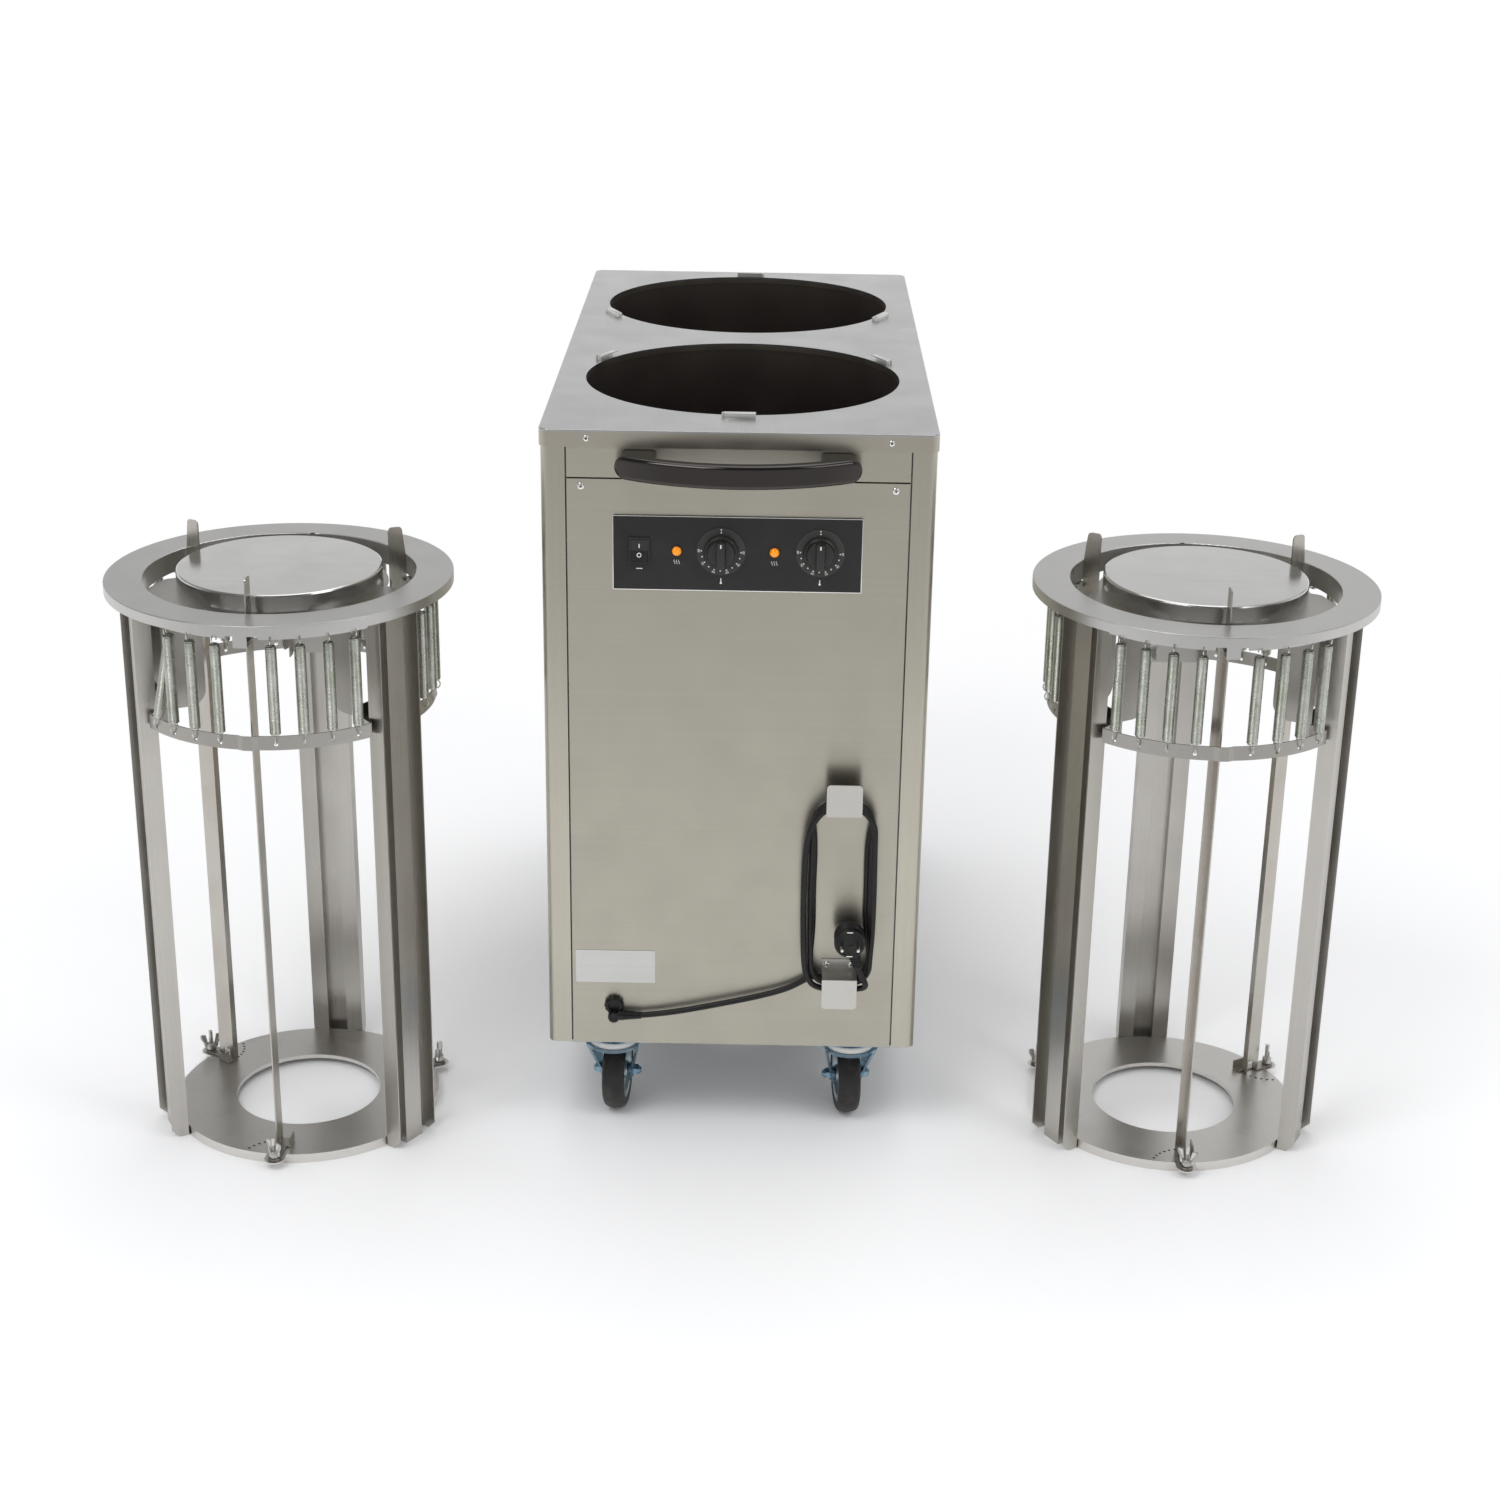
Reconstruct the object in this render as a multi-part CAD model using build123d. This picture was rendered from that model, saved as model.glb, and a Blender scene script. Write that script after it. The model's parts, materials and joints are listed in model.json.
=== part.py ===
from build123d import *
import math
import os

# Heated two-well plate dispenser cart with its two plate lifters standing beside it.
# Millimetres, +Z up, +Y to the back of the cart, -Y to the side with handle and controls.
# The origin is on the floor under the middle of the whole set, cart and both lifters.
# Every cart piece is drawn about the cart's own centre and every lifter piece about the
# lifter's own axis; they are moved to their places in the set when they are written.

# ---------------------------------------------------------------- driving dimensions
# Cart body
CART_WIDTH = 450.0
CART_LENGTH = 942.0
BODY_HEIGHT = 769.0          # from the underside of the body to the top of the deck
SKIN = 1.5                   # sheet of deck, panels and pan
SLIP = 0.2                   # clearance between skins that slide into each other
REVEAL = 1.8                 # open joint between neighbouring panels
DECK_SKIRT = 20.0            # turned-down edge of the deck
CORNER_R = 12.0              # upright corners, seen from above
WRAP = 30.5                  # side panels reach this far round the front and the back
RETURN = 10.0                # turned-in edges of the panels
STRIP_DROP = 56.0            # deck top to the joint under the handle strip
PAN_WALL = 25.0              # upstand of the bottom pan

# Wells
WELL_R = 190.0
WELL_PITCH = 445.0
WELL_SHIFT = 20.5            # the pair of wells sits this far behind the middle
WELL_COLLAR = 8.0            # turned-down edge of each deck hole
LINER_SPACE = 2.0            # between deck collar and liner
LINER_WALL = 1.0
LINER_FLANGE = 8.5
LINER_STAND = 22.5           # liner floor above the bottom pan
VENT_R = 60.0

# Inner frame
POST = 30.0
POST_WALL = 2.0
RAIL_TALL = 25.0
SIDE_RAIL = 12.0
END_RAIL = 10.5
MIDDLE_RAIL = 24.0
CROSS_RAIL_BACK = 52.0       # castor axis to the lower cross rails, clear of the bolts
BEARER = 24.0
BEARER_AT = 60.0

# Heating elements
ELEMENT_R = 150.0
ELEMENT_ROD = 4.0
ELEMENT_ARC = 330.0
SADDLE = 10.0
SADDLE_TALL = 8.0
TERMINAL_DROP = 12.0

# Rim clips on the deck
CLIP_THICK = 1.0
CLIP_TALL = 5.0
CLIP_LONG = 36.0
CLIP_DEEP = 8.5
CLIP_BACK = 2.5              # well's collar to the clip's open side
CLIP_EYE_R = 2.2
CLIP_EYE_OUT = 1.0           # eye's middle beyond the clip's end
CLIP_FRONT_ANGLES = (30.0, 150.0, 270.0)
CLIP_BACK_ANGLES = (90.0, 205.0, 335.0)

# Controls
CONTROL_W = 284.0
CONTROL_H = 88.0
CONTROL_T = 2.0
CONTROL_DROP = 142.0         # deck top to the middle of the control panel
CONTROL_EDGE = 10.0          # how far the panel laps over its window
BOX_WALL = 1.2
BOX_DEPTH = 56.0
CONTROL_ROW = 3.0            # the row of controls sits this far above the panel's middle
SWITCH_X = -111.6
LAMP_X = (-69.0, 42.0)
KNOB_X = (-18.6, 94.1)
SWITCH_W = 24.0
SWITCH_H = 31.0
SWITCH_RIM = 2.6
SWITCH_WALL = 1.9
SWITCH_BODY = 24.0
ROCKER_GAP = 0.3
ROCKER_PROUD = 5.0
ROCKER_TILT = 9.0
ROCKER_PIN_R = 1.5
PIN_IN = 0.7                 # how far the pins reach into the housing's walls
PIN_PLAY = 0.05
LAMP_R = 6.2
LAMP_STEM_R = 5.0
LAMP_STEM = 18.7
DOME = ((1.0, 0.35), (0.82, 0.7), (0.5, 0.92), (0.0, 1.0))       # shares of radius and height
HOLE_PLAY = 0.3
DIAL_R = 28.0
DIAL_T = 0.8
DIAL_BORE = 8.0
KNOB_R = 19.5
KNOB_BASE = 6.0
KNOB_BODY_R = 16.5
KNOB_DEPTH = 20.0
KNOB_GRIP = 12.0
KNOB_LIFT = 0.5
KNOB_EDGE = 3.6              # height of the base's straight edge
KNOB_BODY = 12.0             # height of the body under the grip
KNOB_DRAFT = 2.0
GRIP_CORNER = 3.6
GRIP_SOFT = 1.0
SPINDLE_R = 3.0
SPINDLE_FIT = 0.05
SPINDLE_REACH = 11.0
THERMOSTAT = 40.0
THERMOSTAT_DEEP = 28.0

# Bow handle
HANDLE_LENGTH = 276.0
HANDLE_TALL = 27.0
HANDLE_REACH = 71.0          # panel face to the front of the bow
HANDLE_BOW = 41.0            # how much further out the middle stands than the ends
HANDLE_BAR = 17.0
HANDLE_FOOT = 46.0
HANDLE_DROP = 35.0           # deck top to the middle of the bar
HANDLE_SOFT = 5.0

# Cord hooks, gland, plate
HOOK_IN = 95.8               # cart's right side to the hooks' middle
HOOK_W = 42.0
HOOK_SHEET = 1.5
HOOK_REACH = 30.7
HOOK_PLATE = 14.0
HOOK_TAB = 40.0
HOOK_LOW = 105.0             # underside of the body to the lower hook's arm
HOOK_APART = 212.5
HOOK_CORNER = 5.0
HOOK_SCREWS = 29.4
GLAND_IN = 81.8              # cart's left side to the gland
GLAND_RISE = 53.0            # underside of the body to the gland's middle
GLAND_R = 12.0
GLAND_OUT = 9.0
GLAND_SIDE = 5.4             # height of the gland's straight side
GLAND_LIP = 2.0
GLAND_CUP_R = 6.0
GLAND_CUP = 6.3
GLAND_TAIL = 7.5             # how far the gland reaches in behind the panel's face
NOZZLE_OUT = 4.0             # lobe's side to the face that the cord leaves by
NOZZLE_WALL = 0.8
NOZZLE_R = 6.2
LOBE_R = 7.2
LOBE_DROP = 12.0
LOBE_OUT = 16.0
EXIT_RISE = 1.0              # cord over the middle of the lobe
PLATE_W = 96.0
PLATE_H = 43.0
PLATE_T = 0.6
PLATE_IN = 83.6              # cart's left side to the plate's middle
PLATE_RISE = 103.5

# Fasteners
RIVET_R = 3.6
RIVET_TALL = 1.4
RIVET_IN = 54.0              # from the cart's sides
RIVET_DROP = 10.0
SCREW_R = 4.2
SCREW_TALL = 1.6
SCREW_SHANK = 2.0
SCREW_LONG = 6.0
SCREW_IN = 47.5              # from the cart's sides
SCREW_BELOW = 9.5            # panel joint to the screws under it
HOOK_SCREW_R = 3.2
HEAD_SHOULDER = 0.75         # where a head's slope breaks, as a share of its size

# Cord and plug
CORD_R = 3.6
PLUG_R = 18.5
PLUG_DEEP = 30.0
PLUG_NECK_R = 7.5
PLUG_ASIDE = 10.6            # plug's place from the middle of the lower hook's arm
PLUG_RISE = 54.0
PLUG_OFF = 13.0              # and from the panel
PLUG_NECK = (21.3, 2.8, 20.0)        # end of the boot: right of, before and above the lower hook
PLUG_WAY = (0.28, 0.06, -0.96)       # the way the cord leaves it
PLUG_ROUND = 4.0
PLUG_LIP = 1.5
BOOT_WALL = 1.6
BOOT_TAPER = 0.55            # share of the boot that widens
EARTH_R = 4.0
EARTH_BORE_R = 1.6
EARTH_TALL = 0.8
EARTH_RISE = 10.2
PIN_R = 2.4
PIN_TIP = 2.0                # length of the pins' rounded tips
PIN_TIP_R = 1.0
PIN_LONG = 19.0
PIN_SPREAD = 19.0

WIND_TURNS = 3
WIND_OFF = 6.0               # panel face to the middle of the cord in the first turn
WIND_STEP = 7.7              # from one turn of the winding to the next, front to back
WIND_SLACK = 1.9             # the turns hang this far under the lower hook
WIND_CROWN = 7.7             # and arch this far over the upper one
WIND_HALF = 37.0
WIND_FOOT = 23.0             # half width of the turns' flat lower run
WIND_KNEE = 35.0             # and of their lower corners, which stand WIND_CUT higher
WIND_CUT = 13.5
WIND_LEFT = (34.0, 37.5, 45.5)       # how far each turn stands left and right of the hooks
WIND_RIGHT = (30.0, 34.8, 38.0)
LEAD_LINE = (                # share of the way, sag under the straight line, distance out
    (0.13, 6.2, 0.5),
    (0.28, 9.0, 1.5),
    (0.48, 9.6, 2.2),
    (0.68, 9.6, 2.4),
    (0.84, 7.4, 1.8),
)

# Castors
WHEEL_R = 50.0
TYRE_W = 28.0
RIM_R = 36.0
RIM_W = 26.0
RIM_DEEP = 4.0               # wall of the rim
WEB_HALF = 4.0               # half thickness of the disc at the rim
TYRE_SHOULDER = 8.0
TYRE_ROUND = 3.0
HUB_R = 11.0
HUB_W = 28.0
AXLE_R = 4.0
AXLE_FIT = 0.1
CROWN_GAP = 5.0              # tyre to fork crown
FORK_SHEET = 3.0
CROWN_R = 35.0
RACE_TALL = 17.0
RACE_R = 29.0
RACE_SPLIT = 0.55            # share of the bearing's height that turns with the fork
RACE_PLAY = 0.4
CASTOR_PLATE_L = 105.0
CASTOR_PLATE_W = 85.0
CASTOR_PLATE_T = 3.0
CASTOR_TRAIL = 30.0
CASTOR_IN = 78.0             # swivel axes in from the cart's sides
CASTOR_END = 49.0            # and from its ends
BOLT_X = 80.0                # bolt spacing across the cart
BOLT_Y = 52.0                # and along it
BOLT_R = 4.0
BOLT_HEAD_R = 6.5
BOLT_HEAD = 5.0
FORK_SPLAY = 12.0
FORK_CLEAR = 0.6
FORK_FOOT = 12.0             # the legs end this far under the axle
FORK_HALF = 18.0
FORK_WAIST = 8.0             # axle to the legs' lower corners, and up to their widest part
FORK_FRONT = 14.0            # legs' front and back edges from the axle
FORK_BACK = 11.0
BOSS_R = 9.0
AXLE_HEAD_R = 7.5
AXLE_HEAD = 5.5
CROWN_ROUND = 1.0            # rounding of the crown and of the swivel race
RACE_ROUND = 2.0
RACE_SLOPE = 5.0
PLATE_RACE_IN = 6.0
PLATE_CORNER = 8.0
FRONT_LEFT_TURN = -5.0       # how the castors stand in rest, seen from above
FRONT_RIGHT_TURN = 6.0
BACK_LEFT_TURN = 184.0
BACK_RIGHT_TURN = 171.0

# Plate lifters
RAILS = (0.0, 120.0, 240.0)
GUIDES = (60.0, 180.0, 300.0)
LIFTER_LEFT_X = -538.0       # from the middle of the cart
LIFTER_LEFT_Y = -391.4
LIFTER_LEFT_TURN = 86.2
LIFTER_RIGHT_X = 550.7
LIFTER_RIGHT_Y = -370.5
LIFTER_RIGHT_TURN = 91.6
LIFTER_HEIGHT = 700.0
LIFTER_SHEET = 1.5
FLANGE_R = 202.7
FLANGE_RIM = 12.0
THROAT_R = 158.4
THROAT_DEEP = 25.0
NOTCH_R = 3.0
BASE_R = 164.0
BASE_TOP = 12.0
BASE_HOLE_R = 90.0
BASE_LIP = 5.0
RAIL_FACE = 162.4            # lifter axis to the inner faces of a rail's brims
RAIL_W = 65.0
RAIL_CROWN = 28.0
RAIL_DEEP = 15.0
RAIL_EDGE = 21.0
RAIL_CHAMFER = 10.0
SEAT = 0.05                  # between the base ring's flats and the rails

# Plate guides
GUIDE_AT = 174.0             # lifter axis to a guide's pivot
GUIDE_SHEET = 1.6
GUIDE_IN = 133.0
GUIDE_OUT = 158.0
GUIDE_THROAT = 154.0         # outer edge where the guide passes the throat
GUIDE_TIP_OUT = 150.0
GUIDE_TOP = 38.0             # above the flange
GUIDE_LIP = 7.5
GUIDE_FOOT_GAP = 0.4
FOOT_T = 2.0
FOOT_R = 8.0
FOOT_WINDOW = 10.0
WINDOW_IN = 6.0              # guide's inner edge to its foot window
ARM_ROOT = 8.0               # overlap of the arms with the web
GUIDE_ROUND = 5.0
GUIDE_NECK = 2.0             # flange top to the guide's narrowing
TAB_IN = 128.0               # small upright tab beside the guide's foot
TAB_LONG = 19.0
TAB_AT = 13.5
TAB_TALL = 11.5
ARM_BELOW = 2.0              # throat's lower edge to the guide's upper arm
PIVOT_R = 2.5
PIVOT_FIT = 0.1
EAR_R = 12.0
DETENT_R = 42.0
DETENT_HOLE = 1.7
DETENT_STEP = 10.0
DETENTS = 7
BRACKET_W = 16.0
BRACKET_GAP = 1.0            # guide's upper arm to the bracket's back
BRACKET_DROP = 3.0           # and to the top of the sheet under it
WING_HUB_R = 5.5
WING_TALL = 21.0
WING_HUB_TALL = 7.35
WING_TURN = 55.0
WING_HALF = 1.1
WING_ROOT = 1.5              # from the stud to the wings' root
WING_OUT = 6.0               # from the hub to the wings' tips
STUD_OVER = 5.0

# Carrier, platform, springs
CARRIER_TOP = 13.0           # below the flange's top
PLATFORM_R = 119.9
PLATFORM_TALL = 22.0
PLATFORM_ROUND = 2.2
CARRIER_R = 126.0
LOBE_REACH = 152.0
LOBE_TIP = 32.0
LOBE_WAIST = 122.0
LOBE_HALF = 64.0
LOBE_ROUND = 12.0
HANGER_AT = 30.5
HANGER_IN = 104.0
HANGER_FOOT = 140.0          # flange top to the hangers' lower edge
HANGER_ROUND = 20.0
TONGUE_W = 14.0              # hangers' tongues that hold the spring bands
BAND_R = 177.0
BAND_TALL = 17.0
BAND_DROP = 156.0            # flange top to the band's lower edge
BAND_SPAN = 47.0
KINK_OUT = 3.0
KINK_HALF = 11.0
SHOE_GAP = 0.5
SHOE_TALL = 30.0
SHOE_DROP = 125.0
HOOK_RING_TALL = 22.5
HOOK_RING_START = 6.0
SPRING_R = 6.5
SPRING_LONG = 106.6
SPRING_TOP = 31.0            # flange top to the upper end of a spring's coil
SPRING_NECK_R = 3.4
SPRING_TAPER = 6.0
WIRE_R = 0.8
CURL_R = 5.5
CURL_ARC = 300.0
EYELET_R = 2.2
EYELET_PLAY = 0.4
SPRING_ANGLES = (10.4, 20.8, 31.2, 41.5)
LEAN_GUIDE = 180.0           # the one leaning spring: its guide, its place there
LEAN_ANGLE = -41.5
LEAN_SIDE = 11.0             # and how it leans sideways and inwards
LEAN_IN = 5.5

# ---------------------------------------------------------------- values that follow
CASTOR_X = CART_WIDTH / 2 - CASTOR_IN
CASTOR_Y = CART_LENGTH / 2 - CASTOR_END
CROSS_RAIL_Y = CASTOR_Y - CROSS_RAIL_BACK
HOOK_X = CART_WIDTH / 2 - HOOK_IN
GLAND_X = GLAND_IN - CART_WIDTH / 2
PLATE_X = PLATE_IN - CART_WIDTH / 2
RIVET_X = CART_WIDTH / 2 - RIVET_IN
SCREW_X = CART_WIDTH / 2 - SCREW_IN
CASTOR_HEIGHT = 2 * WHEEL_R + CROWN_GAP + FORK_SHEET + RACE_TALL + CASTOR_PLATE_T
BODY_BOTTOM = CASTOR_HEIGHT
DECK_TOP = BODY_BOTTOM + BODY_HEIGHT
DECK_UNDER = DECK_TOP - SKIN
INSET = SKIN + SLIP
FACE_Y = CART_LENGTH / 2 - INSET          # outer faces of front (at -FACE_Y) and back
FACE_X = CART_WIDTH / 2 - INSET
PANEL_HALF = CART_WIDTH / 2 - WRAP - REVEAL / 2
PANEL_TOP = DECK_UNDER - SLIP
STRIP_Z = DECK_TOP - STRIP_DROP
PAN_X = FACE_X - SKIN - SLIP
PAN_Y = FACE_Y - RETURN - SLIP
PAN_FLOOR = BODY_BOTTOM + SKIN
FRONT_WELL_Y = WELL_SHIFT - WELL_PITCH / 2
BACK_WELL_Y = WELL_SHIFT + WELL_PITCH / 2
COLLAR_R = WELL_R + SKIN
LINER_R = COLLAR_R + LINER_SPACE
LINER_OUT = LINER_R + LINER_WALL
LINER_FLOOR = PAN_FLOOR + LINER_STAND
CONTROL_Z = DECK_TOP - CONTROL_DROP
ROW_Z = CONTROL_Z + CONTROL_ROW
CONTROL_FACE = FACE_Y + CONTROL_T
DIAL_FACE = CONTROL_FACE + DIAL_T
HANDLE_Z = DECK_TOP - HANDLE_DROP
LOW_ARM_Z = BODY_BOTTOM + HOOK_LOW
HIGH_ARM_Z = LOW_ARM_Z + HOOK_APART
GLAND_Z = BODY_BOTTOM + GLAND_RISE
PLATE_Z = BODY_BOTTOM + PLATE_RISE
CROWN_Z = 2 * WHEEL_R + CROWN_GAP
RACE_Z = CROWN_Z + FORK_SHEET
ORIGIN_X = -((LIFTER_LEFT_X - FLANGE_R) + (LIFTER_RIGHT_X + FLANGE_R)) / 2
ORIGIN_Y = -((min(LIFTER_LEFT_Y, LIFTER_RIGHT_Y) - FLANGE_R) + CART_LENGTH / 2) / 2

FLANGE_UNDER = LIFTER_HEIGHT - LIFTER_SHEET
THROAT_LOW = LIFTER_HEIGHT - THROAT_DEEP
CARRIER_Z = LIFTER_HEIGHT - CARRIER_TOP
PLATFORM_TOP = CARRIER_Z + PLATFORM_TALL
BAND_Z = LIFTER_HEIGHT - BAND_DROP
HANGER_Z = LIFTER_HEIGHT - HANGER_FOOT
COIL_TOP = LIFTER_HEIGHT - SPRING_TOP
COIL_LOW = COIL_TOP - SPRING_LONG
HIGH_WIRE_Z = COIL_TOP + 2 * CURL_R
LOW_WIRE_Z = COIL_LOW - 2 * CURL_R
EYELET_SHIFT = EYELET_R - WIRE_R - EYELET_PLAY
ARM_TOP = THROAT_LOW - ARM_BELOW
FOOT_Z = BASE_TOP + GUIDE_FOOT_GAP


# ---------------------------------------------------------------- small helpers
def block(x0, x1, y0, y1, z0, z1):
    """Box between two opposite corners."""
    middle = Pos((x0 + x1) / 2, (y0 + y1) / 2, (z0 + z1) / 2)
    return middle * Box(x1 - x0, y1 - y0, z1 - z0)


def upright(x, y, z0, z1, radius):
    """Cylinder along Z."""
    return Pos(x, y, (z0 + z1) / 2) * Cylinder(radius, z1 - z0)


def turned(*corners):
    """Solid of revolution about Z through (radius, height) corners."""
    return revolve(Plane.XZ * Polygon(*corners, align=None), Axis.Z)


def facing_front(x, y, z, shape):
    """Stand a shape drawn along +Z on the point given, so that it points to -Y."""
    return Pos(x, y, z) * Rot(90, 0, 0) * shape


def forward(x, z, y0, y1, radius):
    """Cylinder along Y."""
    return Pos(x, (y0 + y1) / 2, z) * Rot(90, 0, 0) * Cylinder(radius, abs(y1 - y0))


def ring(inner, outer, z0, z1):
    """Flat ring or tube about Z."""
    tall = z1 - z0
    return Pos(0, 0, (z0 + z1) / 2) * (Cylinder(outer, tall) - Cylinder(inner, tall))


def wedge(reach, start, end, z0, z1):
    """Pie slice about Z between two angles in degrees, used to keep or cut an arc."""
    middle = math.radians((start + end) / 2)
    half = math.radians((end - start) / 2)
    far = reach / math.cos(half)
    a = (far * math.cos(middle - half), far * math.sin(middle - half))
    b = (far * math.cos(middle + half), far * math.sin(middle + half))
    return Pos(0, 0, z0) * prism(Polygon((0, 0), a, b, align=None), z1 - z0)


def arc_strip(radius, thick, start, end, z0, z1):
    """Upright strip bent to an arc about Z."""
    whole = ring(radius - thick / 2, radius + thick / 2, z0, z1)
    return whole & wedge(2 * radius, start, end, z0, z1)


def tray(x0, x1, z0, z1, y_face, toward):
    """Sheet panel in the XZ plane with all four edges turned in; toward is +1 or -1."""
    inner = y_face + toward * SKIN
    deep = y_face + toward * RETURN
    outer = block(x0, x1, min(y_face, deep), max(y_face, deep), z0, z1)
    hollow = block(x0 + SKIN, x1 - SKIN, min(inner, deep), max(inner, deep), z0 + SKIN, z1 - SKIN)
    return outer - hollow


def prism(face, tall):
    """Face in the XY plane raised straight up."""
    return extrude(face, tall, dir=(0, 0, 1))


def turned_about(shape, angle):
    """Copy turned about Z."""
    return Rot(0, 0, angle) * shape


# ---------------------------------------------------------------- cart body
def deck():
    sheet = extrude(RectangleRounded(CART_WIDTH, CART_LENGTH, CORNER_R), DECK_SKIRT)
    sheet = fillet(sheet.faces().sort_by(Axis.Z)[-1].edges(), SKIN * 0.8)
    inside = RectangleRounded(CART_WIDTH - 2 * SKIN, CART_LENGTH - 2 * SKIN, CORNER_R - SKIN)
    sheet -= extrude(inside, DECK_SKIRT - SKIN)
    sheet = Pos(0, 0, DECK_TOP - DECK_SKIRT) * sheet
    for y in (FRONT_WELL_Y, BACK_WELL_Y):
        sheet -= upright(0, y, DECK_TOP - DECK_SKIRT, DECK_TOP, WELL_R)
        sheet += Pos(0, y, 0) * ring(WELL_R, COLLAR_R, DECK_TOP - WELL_COLLAR, DECK_TOP)
    return sheet


def rim_clips():
    """Bent strips on the deck, open to the well, each with an eye at the end nearer the front."""
    clips = []
    near = COLLAR_R + CLIP_BACK
    far = near + CLIP_DEEP
    half = CLIP_LONG / 2
    low, high = DECK_TOP, DECK_TOP + CLIP_TALL
    strip = block(far - CLIP_THICK, far, -half, half, low, high)
    strip += block(near, far, -half, half, high - CLIP_THICK, high)
    for y, angles in ((FRONT_WELL_Y, CLIP_FRONT_ANGLES), (BACK_WELL_Y, CLIP_BACK_ANGLES)):
        for angle in angles:
            side = 1 if 90 < angle < 270 else -1
            eye = upright(near + CLIP_EYE_R, side * (half + CLIP_EYE_OUT), low, high, CLIP_EYE_R)
            clips.append(Pos(0, y, 0) * turned_about(strip + eye, angle))
    return clips


def side_panel(side):
    tall = PANEL_TOP - BODY_BOTTOM
    outer = extrude(RectangleRounded(2 * FACE_X, 2 * FACE_Y, CORNER_R - INSET), tall)
    inner = RectangleRounded(2 * (FACE_X - SKIN), 2 * (FACE_Y - SKIN), CORNER_R - INSET - SKIN)
    shell = Pos(0, 0, BODY_BOTTOM) * (outer - extrude(inner, tall))
    edge = CART_WIDTH / 2 - WRAP + REVEAL / 2
    keep = block(edge, CART_WIDTH, -CART_LENGTH, CART_LENGTH, BODY_BOTTOM, DECK_TOP)
    panel = shell & keep
    for y0, y1 in ((-FACE_Y, -FACE_Y + RETURN), (FACE_Y - RETURN, FACE_Y)):
        panel += block(edge, edge + SKIN, y0, y1, BODY_BOTTOM, PANEL_TOP)
    if side < 0:
        panel = mirror(panel, Plane.YZ)
    return panel


def screw_places():
    """Screws that hold front and back panel: (x, z) pairs."""
    z = STRIP_Z - SCREW_BELOW
    return [(-SCREW_X, z), (SCREW_X, z)]


def hook_screw_places():
    low = LOW_ARM_Z + HOOK_PLATE / 2
    high = HIGH_ARM_Z + HOOK_PLATE / 2
    return [(HOOK_X + s * HOOK_SCREWS / 2, z) for z in (low, high) for s in (-1, 1)]


def front_top_strip():
    return tray(-PANEL_HALF, PANEL_HALF, STRIP_Z + REVEAL / 2, PANEL_TOP, -FACE_Y, 1)


def front_panel():
    top = STRIP_Z - REVEAL / 2
    panel = tray(-PANEL_HALF, PANEL_HALF, BODY_BOTTOM, top, -FACE_Y, 1)
    window_x = CONTROL_W / 2 - CONTROL_EDGE
    window_z = CONTROL_H / 2 - CONTROL_EDGE
    panel -= block(-window_x, window_x, -FACE_Y, -FACE_Y + SKIN,
                   CONTROL_Z - window_z, CONTROL_Z + window_z)
    panel -= forward(GLAND_X, GLAND_Z, -FACE_Y, -FACE_Y + SKIN, LOBE_R + HOLE_PLAY)
    for x, z in screw_places() + hook_screw_places():
        panel -= forward(x, z, -FACE_Y, -FACE_Y + SKIN, SCREW_SHANK + HOLE_PLAY)
    return panel


def back_panel():
    panel = tray(-PANEL_HALF, PANEL_HALF, BODY_BOTTOM, PANEL_TOP, FACE_Y, -1)
    for x, z in screw_places():
        panel -= forward(x, z, FACE_Y - SKIN, FACE_Y, SCREW_SHANK + HOLE_PLAY)
    return panel


def castor_places():
    """Swivel axes and rest turns: name, x, y, turn."""
    return (
        ("front_left", -CASTOR_X, -CASTOR_Y, FRONT_LEFT_TURN),
        ("front_right", CASTOR_X, -CASTOR_Y, FRONT_RIGHT_TURN),
        ("back_left", -CASTOR_X, CASTOR_Y, BACK_LEFT_TURN),
        ("back_right", CASTOR_X, CASTOR_Y, BACK_RIGHT_TURN),
    )


def bolt_places():
    spots = []
    for _, x, y, _ in castor_places():
        for sx in (-1, 1):
            for sy in (-1, 1):
                spots.append((x + sx * BOLT_X / 2, y + sy * BOLT_Y / 2))
    return spots


def bottom_pan():
    outer = block(-PAN_X, PAN_X, -PAN_Y, PAN_Y, BODY_BOTTOM, BODY_BOTTOM + PAN_WALL)
    hollow = block(-PAN_X + SKIN, PAN_X - SKIN, -PAN_Y + SKIN, PAN_Y - SKIN,
                   PAN_FLOOR, BODY_BOTTOM + PAN_WALL)
    pan = outer - hollow
    for x, y in bolt_places():
        pan -= upright(x, y, BODY_BOTTOM, PAN_FLOOR, BOLT_R + HOLE_PLAY)
    for y in (FRONT_WELL_Y, BACK_WELL_Y):
        pan -= upright(0, y, BODY_BOTTOM, PAN_FLOOR, VENT_R / 2)
    return pan


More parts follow.
